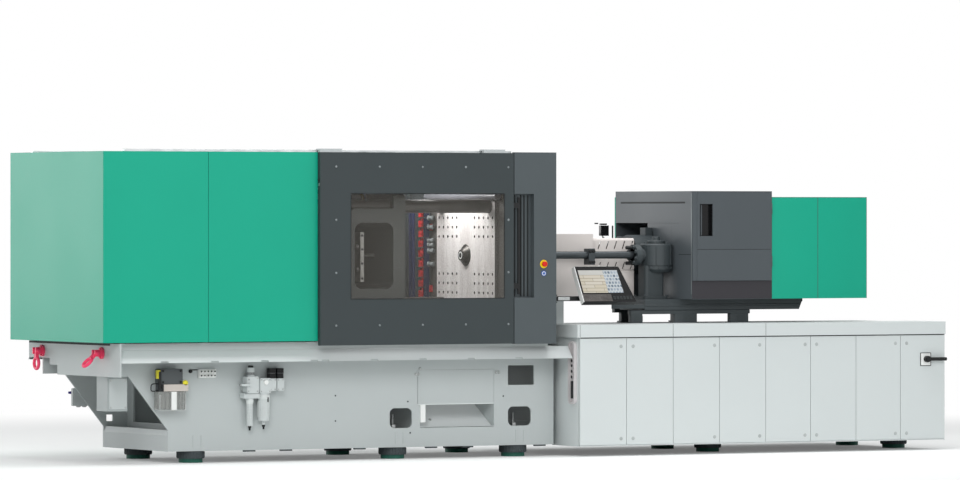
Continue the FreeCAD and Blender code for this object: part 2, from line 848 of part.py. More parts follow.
def clamp_ram():
    """The clamp ram behind the moving platen."""
    back = -daylight - moving_depth
    write("clamp_ram", round_x(back - ram_length, back, 0, centre_z, ram_radius))


def ejector_plate():
    """The ejector plate in the moving platen's pocket, with three rods."""
    face = -daylight
    x = face - moving_plate - pocket_length + ejector_back
    plate = block(x, x + ejector_gauge, -face_half + ejector_inset, face_half - ejector_inset,
                  ejector_floor, ejector_floor + ejector_height)
    slots = [round_x(x - 1, x + ejector_gauge + 1, side * (face_half - 4 * ejector_inset), z,
                     ejector_slot_radius)
             for side in (-1, 1) for z in ejector_slots]
    rods = [round_x(x + ejector_gauge, face, y, centre_z, ejector_rod)
            for y in (-ejector_pitch, 0, ejector_pitch)]
    write("ejector_plate", less(joined(plate, *rods), *slots))


def platen_cylinder():
    """The hydraulic cylinder on top of the moving platen, with its gland nut."""
    right = -daylight - moving_plate - 10
    left = right - top_cylinder_length
    tube_body = round_x(left, right - gland_length, 0, top_cylinder_z, top_cylinder_radius)
    gland = round_x(right - gland_length, right, 0, top_cylinder_z, gland_radius)
    high = centre_z + moving_body_half_z
    saddle = block(right - 330, right - 190, -gland_radius, gland_radius, high, top_cylinder_z)
    write("platen_cylinder", joined(tube_body, gland, saddle))


def water_manifold():
    """The column of cooling water couplings behind the mould space."""
    post_left, post_right = manifold_post
    front, back = manifold_y
    width, depth, height = coupling_size
    top = manifold_floor + (coupling_count - 1) * coupling_pitch + height
    post = block(post_left, post_right, front + 8, back, manifold_floor, top + 6)
    units = []
    for i in range(coupling_count):
        z = manifold_floor + i * coupling_pitch
        units.append(rounded(manifold_x, manifold_x + width, front, front + depth, z, z + height, 6,
                             Vector(0, 0, 1)))
    brackets = [block(post_right - 6, face_step, front + 8, back, z, z + height)
                for z in (manifold_floor + coupling_pitch / 2, top - 2 * coupling_pitch)]
    write("water_manifold", joined(post, *units, *brackets))


# -------------------------------------------------------------------------- injection side


def injection_bed():
    """The welded bed under the injection unit, with the cabinet behind it."""
    right = bed_right - bed_end
    outer = block(bed_left, right, -bed_half, bed_half, foot_height, bed_top)
    inner = block(bed_left + bed_wall, right - bed_wall, -bed_half + bed_wall,
                  bed_half - bed_wall, foot_height - 1, bed_top - bed_wall)
    bed = outer.cut(inner)
    half_x, half_y = bed_plate
    foot_plates = [block(x - half_x, x + half_x, side * y - half_y, side * y + half_y,
                         cabinet_floor - cabinet_rim, foot_height + base_wall)
                   for x, y in bed_feet for side in (-1, 1)]
    rear_outer = block(bed_left, bed_right, bed_half, rear_cabinet, cabinet_floor, rear_cabinet_top)
    rear_inner = block(bed_left + sheet, bed_right - sheet, bed_half + sheet, rear_cabinet - sheet,
                       cabinet_floor + sheet, rear_cabinet_top - sheet)
    rear = rear_outer.cut(rear_inner)
    riser = block(bed_left, riser_right, -bed_half + riser_inset, bed_half - riser_inset,
                  bed_top, riser_top)
    write("injection_bed", joined(bed, rear, riser, *foot_plates))


def hinge_axis(index):
    """Where the vertical hinge line of a cabinet door stands."""
    left = hinge_left[index]
    edge = seams[index] + door_gap / 2 if left else seams[index + 1] - door_gap / 2
    x = edge + hinge_inset if left else edge - hinge_inset
    return x, -cabinet_front + hinge_skin


def cabinet_frame():
    """The open-fronted control cabinet with the holes that take the doors' hinge pins."""
    front = -cabinet_front + door_sheet + frame_setback
    back = -bed_half
    outer = block(bed_left, bed_right, front, back, cabinet_floor - cabinet_rim,
                  cabinet_head + cabinet_rim)
    middle = 4
    shells = []
    for x0, x1 in ((bed_left, seams[middle]), (seams[middle], bed_right)):
        shells.append(block(x0 + cabinet_sheet, x1 - cabinet_sheet, front - 1, back - cabinet_sheet,
                            cabinet_floor, cabinet_head))
    case = less(outer, *shells)
    half, depth = door_post
    posts = [block(x - half, x + half, front, front + depth, cabinet_floor, cabinet_head)
             for x in seams[1:-1]]
    lips = [block(bed_left, bed_right, -cabinet_front, front, z, z + cabinet_rim)
            for z in (cabinet_floor - cabinet_rim, cabinet_head)]
    holes = []
    for i in range(len(hinge_left)):
        x, y = hinge_axis(i)
        holes.append(round_z(cabinet_floor - 4, cabinet_head + 4, x, y, hinge_pin + running))
    write("cabinet_frame", less(joined(case, *posts, *lips), *holes))


def cabinet_doors():
    """Eight folded doors, each with a pin at the top and the bottom of its hinge line."""
    z0 = cabinet_floor + 2
    z1 = cabinet_head - 2
    for i in range(len(hinge_left)):
        x0 = seams[i] + door_gap / 2
        x1 = seams[i + 1] - door_gap / 2
        y0 = -cabinet_front
        y1 = y0 + door_sheet
        tray = block(x0, x1, y0, y1, z0, z1)
        hollow = block(x0 + door_hem, x1 - door_hem, y0 + door_skin, y1 + 1,
                       z0 + door_hem, z1 - door_hem)
        x, y = hinge_axis(i)
        pins = [round_z(z0 - hinge_pin_length - 1, z0, x, y, hinge_pin),
                round_z(z1, z1 + hinge_pin_length + 1, x, y, hinge_pin)]
        write("cabinet_door_%d" % (i + 1), joined(tray.cut(hollow), *pins))


def main_switch():
    """The turning grip of the main switch, on the last door."""
    y = -cabinet_front
    left, right, half = switch_grip
    disc = round_y(y - 34, y - 4, switch_x, switch_z, 24)
    bar = rounded(switch_x - left, switch_x + right, y - 44, y - 20, switch_z - half, switch_z + half,
                  10, Vector(0, 1, 0))
    stem = round_y(y - 4, y - clearance, switch_x, switch_z, 12)
    write("main_switch_knob", joined(disc, bar, stem))


def cabinet_top_cover():
    """The cap along the top of the front cabinet."""
    floor = cabinet_head + cabinet_rim
    outer = block(band_left, bed_right + sheet, -band_front, -bed_half, floor, band_top)
    hollow = block(bed_left + band_wall, bed_right - band_wall, -band_front + sheet,
                   -bed_half - sheet, floor - 1, band_top - sheet)
    write("cabinet_top_cover", outer.cut(hollow))


def cable_guard():
    """The oval frame and its socket plate on the cabinet's left end."""
    y0, y1, z0, z1 = socket_frame
    wall = socket_frame_wall
    left = bed_left - socket_frame_depth
    along_x = Vector(1, 0, 0)
    outer = rounded(left, bed_left, y0, y1, z0, z1, socket_frame_round, along_x)
    inner = rounded(left - 1, bed_left - sheet, y0 + wall, y1 - wall, z0 + wall, z1 - wall,
                    socket_frame_round - wall, along_x)
    sockets = [round_x(left + 2 * sheet, bed_left - sheet, socket_y, z, socket_radius)
               for z in socket_heights]
    frame = outer.cut(inner)
    write("cable_guard", joined(frame, *sockets))


def injection_columns():
    """Two round columns from the fixed platen, each with a clamping collar."""
    z = centre_z
    flange_gauge, flange_radius = column_flange
    groove_width, groove_depth = collar_groove
    columns = []
    for side in (-1, 1):
        y = side * column_y
        flange = round_x(platen_depth, platen_depth + flange_gauge, y, z, flange_radius)
        bar = round_x(platen_depth, column_end, y, z, column_radius)
        collar = round_x(collar_x, collar_x + collar_length, y, z, collar_radius)
        grooves = []
        core = round_x(collar_x, collar_x + collar_length, y, z, collar_radius - groove_depth)
        for dx in collar_grooves:
            ring = round_x(collar_x + dx, collar_x + dx + groove_width, y, z, collar_radius + 1)
            grooves.append(ring.cut(core))
        columns.append(joined(flange, bar, less(collar, *grooves)))
    write("injection_columns", *columns)


def injection_slideway():
    """The fixed slideway on the bed: two rails, each on three legs."""
    over, half, gauge = way_pad
    sides = []
    for side in (-1, 1):
        y = side * way_y
        rail = block(way_left, way_right, y - way_half, y + way_half, way_floor, carriage_floor)
        legs = [block(x0, x1, y - way_half, y + way_half, bed_top, way_floor) for x0, x1 in way_legs]
        pads = [block(x0 - over, x1 + over, y - half, y + half, bed_top, bed_top + gauge)
                for x0, x1 in way_legs]
        sides.append(joined(rail, *legs, *pads))
    write("injection_slideway", *sides)


def carriage_base():
    """The carriage under the injection unit, with its pointed front plate."""
    low = carriage_floor + clearance
    beam_outline = [(carriage_left, low), (carriage_right - carriage_end, low),
                    (carriage_right, carriage_top), (carriage_left, carriage_top)]
    beam = slab_xz(beam_outline, -carriage_half, carriage_half)
    hollow = block(carriage_left + carriage_wall, carriage_right - carriage_wall - carriage_end,
                   -carriage_half + carriage_wall, carriage_half - carriage_wall,
                   low - 1, carriage_top - carriage_skin)
    shoulder = carriage_left - tip_length
    tip = plate_xy([(carriage_left, -tip_side), (shoulder, -tip_side), (carriage_tip, -tip_half),
                    (carriage_tip, tip_half), (shoulder, tip_side), (carriage_left, tip_side)],
                   low + tip_lift, low + tip_lift + tip_gauge)
    write("carriage_base", joined(beam.cut(hollow), tip))


def drum(y):
    """One drum of the housing: a turned body with a bolted ring below, on its column."""
    ring_z = drum_floor + drum_ring
    points = [
        (0, drum_floor), (drum_ring_radius - 2 * drum_edge, drum_floor),
        (drum_ring_radius, drum_floor + 2 * drum_edge), (drum_ring_radius, ring_z),
        (drum_radius, ring_z), (drum_radius, drum_roof - drum_edge),
        (drum_radius - drum_edge, drum_roof), (0, drum_roof),
    ]
    face = outline([(drum_x + r, y, z) for r, z in points])
    return face.revolve(Vector(drum_x, y, 0), Vector(0, 0, 1), 360)


def injection_housing():
    """The cast housing that holds the barrel and rides on both columns."""
    z = centre_z
    core = round_x(housing_left, housing_right, 0, z, core_radius)
    bridge = block(drum_x - bridge_half_z, housing_right, -column_y, column_y,
                   z - bridge_half_z, z + bridge_half_z)
    left, right = leg_x
    foot_top = carriage_top + leg_foot
    pieces = []
    for side in (-1, 1):
        y = side * column_y
        leg = rounded(left, right, y - leg_half, y + leg_half, carriage_top, drum_floor + drum_ring,
                      leg_round, Vector(0, 0, 1))
        foot = rounded(left - leg_round, right + leg_round, y - leg_half - leg_round,
                       y + leg_half + leg_round, carriage_top, foot_top, leg_round, Vector(0, 0, 1))
        boss = round_x(boss_x[0], boss_x[1], y, z, boss_radius)
        pieces.extend([drum(y), leg, foot, boss])
    body = joined(core, bridge, *pieces)
    bores = [round_x(boss_x[0] - 1, column_end, side * column_y, z, column_radius + running)
             for side in (-1, 1)]
    seat = round_x(housing_left - 1, housing_right + 1, 0, z, barrel_radius + clearance)
    guides = [round_x(housing_right, guide_right, 0, z + side * guide_offset, guide_radius)
              for side in (-1, 1)]
    lugs = [block(housing_right - 60, housing_right, -lug_half, lug_half,
                  *sorted((z + side * lug_z[0], z + side * lug_z[1]))) for side in (-1, 1)]
    write("injection_housing", joined(less(body, *bores, seat), *lugs, *guides))


def barrel():
    """The plasticising barrel with its nozzle, and the bore the screw turns in."""
    z = centre_z
    tube_body = round_x(barrel_left, housing_right, 0, z, barrel_radius)
    flange = round_x(shroud_right, housing_left, 0, z, barrel_flange)
    nozzle = outline([(x, 0, z + r) for x, r in (
        (-34, nozzle_bore), (-38, 8), (-34, nozzle_radius), (-8, nozzle_radius), (30, 40),
        (barrel_left, 48), (barrel_left, nozzle_bore))])
    nozzle = nozzle.revolve(Vector(0, 0, z), Vector(1, 0, 0), 360)
    body = joined(tube_body, flange, nozzle)
    melt_x = barrel_left + melt_length
    bore = round_x(melt_x, housing_right + 1, 0, z, screw_radius + running)
    throat = round_x(barrel_left - 1, melt_x + 1, 0, z, nozzle_bore)
    write("barrel", less(body, bore, throat))


def plasticising_screw():
    """The screw in the barrel, with its cone tip and drive journal."""
    z = centre_z
    tip_x = barrel_left + melt_length + 10
    seat_x = housing_right + 60
    end_x = yoke_left + yoke_depth / 2
    points = [(tip_x, 0), (tip_x, screw_tip), (tip_x + 45, 20), (tip_x + 60, 20),
              (tip_x + 60, screw_radius), (seat_x, screw_radius), (seat_x, journal_radius),
              (end_x, journal_radius), (end_x, 0)]
    face = outline([(x, 0, z + r) for x, r in points])
    write("plasticising_screw", face.revolve(Vector(0, 0, z), Vector(1, 0, 0), 360))


def injection_yoke():
    """The crosshead that pushes and turns the screw, with its drive motor."""
    z = centre_z
    back = yoke_left + yoke_depth
    plate = rounded(yoke_left, back, -yoke_half, yoke_half, z - yoke_half, z + yoke_half,
                    yoke_round, Vector(1, 0, 0))
    cap_length, cap_radius = motor_cap
    motor = round_x(back, back + motor_length, 0, z, motor_radius)
    cap = round_x(back + motor_length, back + motor_length + cap_length, 0, z, cap_radius)
    body = joined(plate, motor, cap)
    bores = [round_x(yoke_left - 1, back + 1, 0, z + side * guide_offset, guide_radius + running)
             for side in (-1, 1)]
    socket = round_x(yoke_left - 1, yoke_left + yoke_depth / 2 + 1, 0, z, journal_radius + running)
    write("injection_yoke", less(body, socket, *bores))


def purge_guard():
    """The sheet box round the nozzle end of the barrel, open below."""
    outer = block(platen_depth, purge_right, -purge_half, purge_half, purge_floor, purge_roof)
    hollow = block(platen_depth - 1, purge_right + 1, -purge_half + sheet, purge_half - sheet,
                   purge_floor - 1, purge_roof - sheet)
    write("purge_guard", outer.cut(hollow))


def barrel_guard():
    """The slotted sheet shroud round the barrel behind the purge guard."""
    z = centre_z
    h = shroud_half
    inner = h - shroud_gauge
    shell = rounded(shroud_left, shroud_right, -h, h, z - h, z + h, shroud_round, Vector(1, 0, 0))
    bore = rounded(shroud_left - 1, shroud_right + 1, -inner, inner, z - inner, z + inner,
                   shroud_round - shroud_gauge, Vector(1, 0, 0))
    collar = round_x(shroud_right - 8, shroud_right, 0, z, h - 1)
    ring = collar.cut(round_x(shroud_right - 9, shroud_right + 1, 0, z, barrel_radius + clearance))
    shroud = joined(shell.cut(bore), ring)
    slots = []
    for i in range(shroud_slots):
        x = shroud_left + 40 + i * shroud_slot_pitch
        for low, high in shroud_slot_rows:
            points = [(x, z + low), (x + shroud_slot_width, z + low),
                      (x + shroud_slot_width + shroud_slot_lean, z + high),
                      (x + shroud_slot_lean, z + high)]
            slots.append(slab_xz(points, -h - 1, h + 1))
    write("barrel_guard", less(shroud, *slots))


def injection_cover():
    """The dark hood over the injection unit, open below and towards the barrel."""
    outer = block(hood_left, hood_right, -hood_half, hood_rear, hood_floor, hood_roof)
    hollow = block(hood_left + hood_sheet, hood_right + 1, -hood_half + hood_sheet,
                   hood_rear - hood_sheet, hood_floor + hood_sheet, hood_roof - hood_sheet)
    mouth = block(hood_left - 1, hood_left + hood_sheet + 1, -hood_mouth, hood_rear - hood_sheet,
                  hood_floor + hood_sheet, hood_mouth_roof)
    doorway = block(hood_door_left + 12, hood_door_right - 12, -hood_half - 1, -hood_half + hood_sheet + 1,
                    hood_door_floor + 12, hood_door_roof - 12)
    body = less(outer, hollow, mouth, doorway)
    knuckles = []
    for z in hood_hinges:
        arm = block(hinge_x - 4, hinge_x + 4, hinge_y, -hood_half, z + 40 + clearance, z + 80)
        post = round_z(z + 40 + clearance, z + 80, hinge_x, hinge_y, 5)
        pin = round_z(z + 5, z + 41 + clearance, hinge_x, hinge_y, 2.5)
        knuckles.append(joined(arm, post, pin))
    write("injection_cover", joined(body, *knuckles))


def injection_door():
    """The hinged front door of the hood, with a grip recess."""
    y1 = -hood_half - clearance
    y0 = y1 - hood_door_gauge
    leaf = block(hood_door_left, hood_door_right, y0, y1, hood_door_floor, hood_door_roof)
    shell = block(recess_left - sheet, recess_right + sheet, y0, y1 + 30,
                  recess_floor - sheet, recess_roof + sheet)
    hollow = block(recess_left, recess_right, y0 - 1, y1 + 30 - sheet, recess_floor, recess_roof)
    knuckles = []
    bores = []
    for z in hood_hinges:
        knuckles.append(round_z(z, z + 40, hinge_x, hinge_y, 5))
        knuckles.append(block(hood_door_right - 5, hinge_x, hinge_y - 1, hinge_y + 4, z, z + 40))
        bores.append(round_z(z - 1, z + 41, hinge_x, hinge_y, 2.5 + running))
    write("injection_door", less(joined(leaf, shell, *knuckles), hollow, *bores))


def injection_rear_cover():
    """The green cover behind the hood, with the side panel along the hood's back."""
    outer = block(hood_right, rear_hood_right, -hood_half, hood_half, rear_hood_floor, rear_hood_roof)
    hollow = block(hood_right - 1, rear_hood_right - sheet, -hood_half + sheet, hood_half - sheet,
                   rear_hood_floor - 1, rear_hood_roof - sheet)
    side = block(hood_left - 8, hood_right, hood_rear, hood_half, hood_floor, hood_roof - 6)
    side_hollow = block(hood_left - 8 + sheet, hood_right + 1, hood_rear - 1, hood_half - sheet,
                        hood_floor - 1, hood_roof - 6 - sheet)
    write("injection_rear_cover", joined(outer.cut(hollow), side.cut(side_hollow)))


# ------------------------------------------------------------------------ operator's panel


def panel_arm():
    """The arm that carries the operator's panel, turning on an upright pin."""
    end = arm_x + arm_reach + hub_radius
    hub = round_z(arm_z - hub_half, arm_z + hub_half, arm_x, arm_y, hub_radius)
    bar = rounded(arm_x, end, arm_y - arm_half, arm_y + arm_half, arm_z - arm_half_z,
                  arm_z + arm_half_z, arm_round, Vector(1, 0, 0))
    bore = round_z(arm_z - hub_half - 1, arm_z + hub_half + 1, arm_x, arm_y, hub_pin + running)
    pin = round_x(end, panel_left + panel_lugs[-1] + 30, arm_y, arm_z, tilt_pin)
    write("panel_arm", less(joined(hub, bar, pin), bore))


def panel_bracket():
    """The bracket on the guard post with the pin on which the arm turns."""
    reach = hub_half + bracket_gauge
    right = arm_x + hub_radius
    y0 = arm_y - hub_radius
    y1 = arm_y + hub_radius
    lower = block(frame_right, right, y0, y1, arm_z - reach, arm_z - hub_half - clearance)
    upper = block(frame_right, right, y0, y1, arm_z + hub_half + clearance, arm_z + reach)
    back = block(frame_right, frame_right + bracket_gauge, y0, y1, arm_z - reach, arm_z + reach)
    pin = round_z(arm_z - reach, arm_z + reach, arm_x, arm_y, hub_pin)
    return joined(lower, upper, back, pin)


def control_panel():
    """The operator's panel: a flat housing that leans back, wider at its foot."""
    points = [(0, 0), (panel_low_width, 0), (panel_top_width, panel_height), (0, panel_height)]
    body = slab_xz(points, 0, panel_depth)
    body.rotate(Vector(0, 0, 0), Vector(1, 0, 0), -panel_lean)
    body.translate(Vector(panel_left, panel_low_y, panel_low_z))
    lugs = [block(panel_left + x, panel_left + x + lug_width, arm_y - 50, arm_y + 14,
                  arm_z - 14, arm_z + 14) for x in panel_lugs]
    bore = round_x(panel_left + panel_lugs[0] - 10, panel_left + panel_lugs[-1] + 40,
                   arm_y, arm_z, tilt_pin + running)
    write("control_panel", less(joined(body, *lugs), bore))


# --------------------------------------------------------------------- services and fittings


def on_base(box, depth, start=0.0, radius=0.0):
    """A box on the front of the base, from start to depth before it, with rounded corners."""
    x0, x1, z0, z1 = box
    y = -base_half
    if radius:
        return rounded(x0, x1, y - depth, y - start, z0, z1, radius, Vector(0, 1, 0))
    return block(x0, x1, y - depth, y - start, z0, z1)


def lubrication_unit():
    """The grease pump block on the base's side, over its reservoir."""
    pump = on_base(pump_box, pump_depth, 0, 8)
    bar = on_base(pump_bar, pump_depth - 5)
    write("lubrication_unit", joined(pump, bar))
    x0, x1, z0, z1 = jar_box
    y0 = -base_half - 6 - jar_depth
    y1 = -base_half - 6
    jar = rounded(x0, x1, y0, y1, z0, z1, jar_round, Vector(0, 0, 1))
    hollow = rounded(x0 + jar_wall, x1 - jar_wall, y0 + jar_wall, y1 - jar_wall, z0 + jar_wall,
                     z1 + 1, jar_round - jar_wall, Vector(0, 0, 1))
    write("oil_reservoir", jar.cut(hollow))


def air_service_unit():
    """Filter, regulator and two valves of the air supply, in a row on the base's side."""
    y = -base_half - air_line
    plate = on_base(air_plate, air_gauge)
    regulator = on_base(air_regulator, air_depth, air_gauge, 8)
    oiler = on_base(air_oiler, air_depth - 5, air_gauge, 8)
    link = on_base((air_regulator[1] - 3, air_oiler[0] + 5, 540, 580), air_line + 10, 20)
    strip = on_base(air_strip, air_depth - 5, air_gauge)
    bowl_x, bowl_foot, bowl_radius = filter_bowl
    bowls = [round_z(bowl_foot, air_strip[2], bowl_x, y, bowl_radius)]
    bowl_x, bowl_foot, bowl_radius = oiler_bowl
    bowls.append(round_z(bowl_foot, air_oiler[2], bowl_x, y, bowl_radius))
    bowls.append(round_z(oiler_drain[0], bowl_foot, bowl_x, y, oiler_drain[1]))
    low, high = valve_box
    head_half, head_top = valve_head
    valves = []
    for x in valve_places:
        valves.append(on_base((x - valve_half, x + valve_half, low, high), 75, air_gauge, 6))
        valves.append(on_base((x - head_half, x + head_half, high, head_top), 70, 25))
    tie = on_base((air_oiler[1] - 9, valve_places[0] + 45, 545, 575), air_line, 20)
    unit = joined(plate, regulator, oiler, link, strip, tie, *bowls, *valves)
    spindle = round_z(lever_z + 40, knob_top + 5, knob_x, y, spindle_radius + running)
    lever_bore = round_y(-base_half - air_depth - 5, y - 10, lever_x, lever_z, spindle_radius + running)
    write("air_service_unit", less(unit, spindle, lever_bore))
    knob = joined(round_z(air_regulator[3] + clearance, knob_top, knob_x, y, knob_radius),
                  round_z(lever_z + 44, air_regulator[3] + 1, knob_x, y, spindle_radius))
    write("regulator_knob", knob)
    face = -base_half - air_depth
    lever = joined(round_y(face - 18, face - clearance, lever_x, lever_z, 14),
                   round_y(face - 1, face + 26, lever_x, lever_z, spindle_radius),
                   block(lever_x - lever_length, lever_x, face - 16, face - 8, lever_z - 8, lever_z + 8))
    write("shutoff_lever", lever)


def service_box():
    """The terminal box that hangs under the upper end beam."""
    x0, x1, y0, y1 = terminal_box
    box = rounded(x0, x1, y0, y1, terminal_floor, base_heel_z, 8, Vector(0, 0, 1))
    hook_left, hook_front, hook_back = terminal_hook
    hook = block(hook_left, x1, hook_front, hook_back, base_heel_z, deck_z - deck_wall)
    write("service_box", joined(box, hook))


def eye_socket(y):
    """The socket of one lifting eye on the end beam."""
    plate_left = beam_left - 14
    plate = round_x(plate_left, beam_left, y, eye_z, eye_plate)
    place, half = eye_cheek
    cheeks = [block(eye_pin_x - 20, plate_left, y + side * place - half, y + side * place + half,
                    eye_z - place, eye_z + place) for side in (-1, 1)]
    pin_hole = round_y(y - 40, y + 40, eye_pin_x, eye_z, eye_pin + running)
    return less(joined(plate, *cheeks), pin_hole)


def eye_ring(y, swing):
    """One lifting ring, forged with its shank and hung on its pin, swung out by some degrees."""
    pin = round_y(y - 30, y + 30, eye_pin_x, eye_z, eye_pin)
    shank = rounded(eye_pin_x - 12, eye_pin_x + 12, y - 17, y + 17, eye_z - 60, eye_z + 14, 5,
                    Vector(0, 1, 0))
    ring_z = eye_z - 40 - ring_radius - ring_bar
    section = [(eye_pin_x + ring_bar * math.sin(math.radians(30 * i)),
                y + ring_radius + ring_bar * math.cos(math.radians(30 * i)), ring_z)
               for i in range(12)]
    ring = outline(section).revolve(Vector(eye_pin_x, y, ring_z), Vector(1, 0, 0), 360)
    eye = joined(pin, shank, ring)
    eye.rotate(Vector(eye_pin_x, y, eye_z), Vector(0, 1, 0), swing)
    return eye


def lifting_eyes():
    """Two lifting eyes on the upper end beam, one hanging and one swung out."""
    write("lifting_eye_sockets", *[eye_socket(y) for y in eye_places])
    for i, (y, swing) in enumerate(zip(eye_places, eye_swings)):
        write("lifting_ring_%d" % (i + 1), eye_ring(y, swing))


os.makedirs("parts", exist_ok=True)
base_frame()
parts_chute()
side_ledges()
machine_feet()
clamp_covers()
clamp_cover_end()
guard_frame()
post_panels()
door_rails()
guard_doors()
operator_buttons()
fixed_platen()
nozzle_cone()
end_platen()
tie_bars()
moving_platen()
clamp_ram()
ejector_plate()
platen_cylinder()
water_manifold()
injection_bed()
cabinet_frame()
cabinet_doors()
main_switch()
cabinet_top_cover()
cable_guard()
injection_columns()
injection_slideway()
carriage_base()
injection_housing()
barrel()
plasticising_screw()
injection_yoke()
purge_guard()
barrel_guard()
injection_cover()
injection_door()
injection_rear_cover()
panel_arm()
control_panel()
lubrication_unit()
air_service_unit()
service_box()
lifting_eyes()
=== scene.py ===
"""A horizontal injection moulding machine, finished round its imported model.

X runs from the clamping end to the injection end, Y to the back and Z up from the floor.
Everything is in metres.
"""

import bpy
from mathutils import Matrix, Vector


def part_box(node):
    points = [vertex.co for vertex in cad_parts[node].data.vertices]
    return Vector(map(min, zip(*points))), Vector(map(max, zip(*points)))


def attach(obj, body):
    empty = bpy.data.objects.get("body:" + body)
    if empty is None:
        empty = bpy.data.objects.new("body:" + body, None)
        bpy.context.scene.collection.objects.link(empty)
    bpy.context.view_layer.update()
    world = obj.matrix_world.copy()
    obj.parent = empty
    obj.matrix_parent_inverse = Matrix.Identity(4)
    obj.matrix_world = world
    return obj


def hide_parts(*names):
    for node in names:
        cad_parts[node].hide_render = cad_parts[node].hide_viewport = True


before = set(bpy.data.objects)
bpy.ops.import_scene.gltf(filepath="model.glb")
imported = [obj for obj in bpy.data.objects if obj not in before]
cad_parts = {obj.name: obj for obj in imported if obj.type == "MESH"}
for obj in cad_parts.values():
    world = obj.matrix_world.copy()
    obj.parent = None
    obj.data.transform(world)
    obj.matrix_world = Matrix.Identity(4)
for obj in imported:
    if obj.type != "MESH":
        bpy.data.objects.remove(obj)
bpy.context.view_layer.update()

import math

import bpy
import numpy as np
from mathutils import Vector

# ---------------------------------------------------------------------------------------
# The view: a long lens well to the left of the machine, a little above a standing eye.
# The lens axis stays level, and a small shift puts the horizon where the photograph has it.
picture_width = 960
lens_pixels = 6460.1
horizon_row = 215.94
yaw = math.radians(28.5)
eye = Vector((-23.1385, -42.530, 1.784))

camera = bpy.data.objects.new("camera", bpy.data.cameras.new("camera"))
bpy.context.scene.collection.objects.link(camera)
camera.data.sensor_width = 36.0
camera.data.lens = lens_pixels * camera.data.sensor_width / picture_width
camera.data.shift_y = (horizon_row - picture_width / 4) / picture_width
camera.data.clip_end = 200.0
camera.location = eye
camera.rotation_euler = (math.pi / 2, 0, -yaw)
bpy.context.scene.camera = camera
bpy.context.scene.view_settings.view_transform = "Standard"

# ---------------------------------------------------------------------------------------
# The studio: a white room, tall soft lamps at the front left and right, above, and behind the
# clamping end, and a small work lamp under the guard's roof. Lenses, gloss and glass see the
# room as white; other light from it is weaker.


def linear(colour):
    """An sRGB hex colour as linear RGBA: c / 12.92 when dark, else ((c + 0.055) / 1.055) ** 2.4."""
    channels = [int(colour[i:i + 2], 16) / 255 for i in (1, 3, 5)]
    return [c / 12.92 if c <= 0.04045 else ((c + 0.055) / 1.055) ** 2.4 for c in channels] + [1.0]


def add(tree, kind, inputs=(), **settings):
    """Adds one shader node. Each input is a value, or another node's socket to link from."""
    made = tree.nodes.new("ShaderNode" + kind)
    for name, value in settings.items():
        setattr(made, name, value)
    for socket, value in dict(inputs).items():
        if isinstance(value, bpy.types.NodeSocket):
            tree.links.new(value, made.inputs[socket])
        else:
            made.inputs[socket].default_value = value
    return made


room = bpy.data.worlds.new("studio_room")
bpy.context.scene.world = room
room.use_nodes = True
tree = room.node_tree
tree.nodes.clear()
room_fill = 0.46
ray = add(tree, "LightPath")
seen = add(tree, "Math", {0: ray.outputs["Is Camera Ray"], 1: ray.outputs["Is Glossy Ray"]},
           operation="MAXIMUM")
seen = add(tree, "Math", {0: seen.outputs[0], 1: ray.outputs["Is Transmission Ray"]},
           operation="MAXIMUM")
fill = add(tree, "Background", {"Color": linear("#F4F7F8"), "Strength": room_fill})
white = add(tree, "Background", {"Color": (1, 1, 1, 1), "Strength": 1.0})
mixed = add(tree, "MixShader", {0: seen.outputs[0], 1: fill.outputs[0], 2: white.outputs[0]})
add(tree, "OutputWorld", {"Surface": mixed.outputs[0]})


def lamp(name, place, target, width, height, power):
    """A soft rectangular lamp that faces a point."""
    light = bpy.data.lights.new(name, "AREA")
    light.shape = "RECTANGLE"
    light.size = width
    light.size_y = height
    light.energy = power
    made = bpy.data.objects.new(name, light)
    made.location = place
    made.rotation_euler = (Vector(target) - Vector(place)).to_track_quat("-Z", "Y").to_euler()
    bpy.context.scene.collection.objects.link(made)
    return made


lamp("front_left_lamp", (-11.5, -15.5, 10.0), (0, 0, 1.4), 8.0, 7.0, 1270)
lamp("front_right_lamp", (4.0, -17.0, 6.0), (0, 0, 1.2), 9.0, 6.0, 340)
lamp("top_lamp", (0.0, -1.5, 8.0), (0, 0, 0), 11.0, 3.5, 480)
lamp("rear_left_lamp", (-8.5, 13.5, 3.0), (-1.5, 0, 1.6), 12.0, 5.0, 560)
work_lamp = lamp("work_lamp", (-0.66, 0.20, 2.14), (-0.17, 0.32, 1.36), 0.9, 0.16, 12.5)
work_lamp.visible_camera = False


def closed_mesh(name, points, faces):
    """A mesh from an array of points and a list of faces."""
    mesh = bpy.data.meshes.new(name)
    mesh.from_pydata(points.tolist(), [], faces)
    mesh.update()
    return mesh


def floor_disc(radius, rings, spokes):
    """A flat disc: point (i, j) lies at radius * i / rings and angle 2 pi j / spokes."""
    distance = radius * np.arange(1, rings + 1) / rings
    angle = 2 * np.pi * np.arange(spokes) / spokes
    x = distance[:, None] * np.cos(angle)
    y = distance[:, None] * np.sin(angle)
    points = np.stack([x, y, np.zeros_like(x)], -1).reshape(-1, 3)
    i, j = np.meshgrid(np.arange(rings - 1), np.arange(spokes), indexing="ij")
    k = (j + 1) % spokes
    quads = np.stack([i * spokes + j, (i + 1) * spokes + j, (i + 1) * spokes + k,
                      i * spokes + k], -1)
    return points, [list(range(spokes))] + quads.reshape(-1, 4).tolist()


def empty_finish(name):
    """A new material with nothing in it, its tree, and the place on the object as a socket."""
    made = bpy.data.materials.new(name)
    made.use_nodes = True
    tree = made.node_tree
    tree.nodes.clear()
    return made, tree, add(tree, "TexCoord").outputs["Object"]


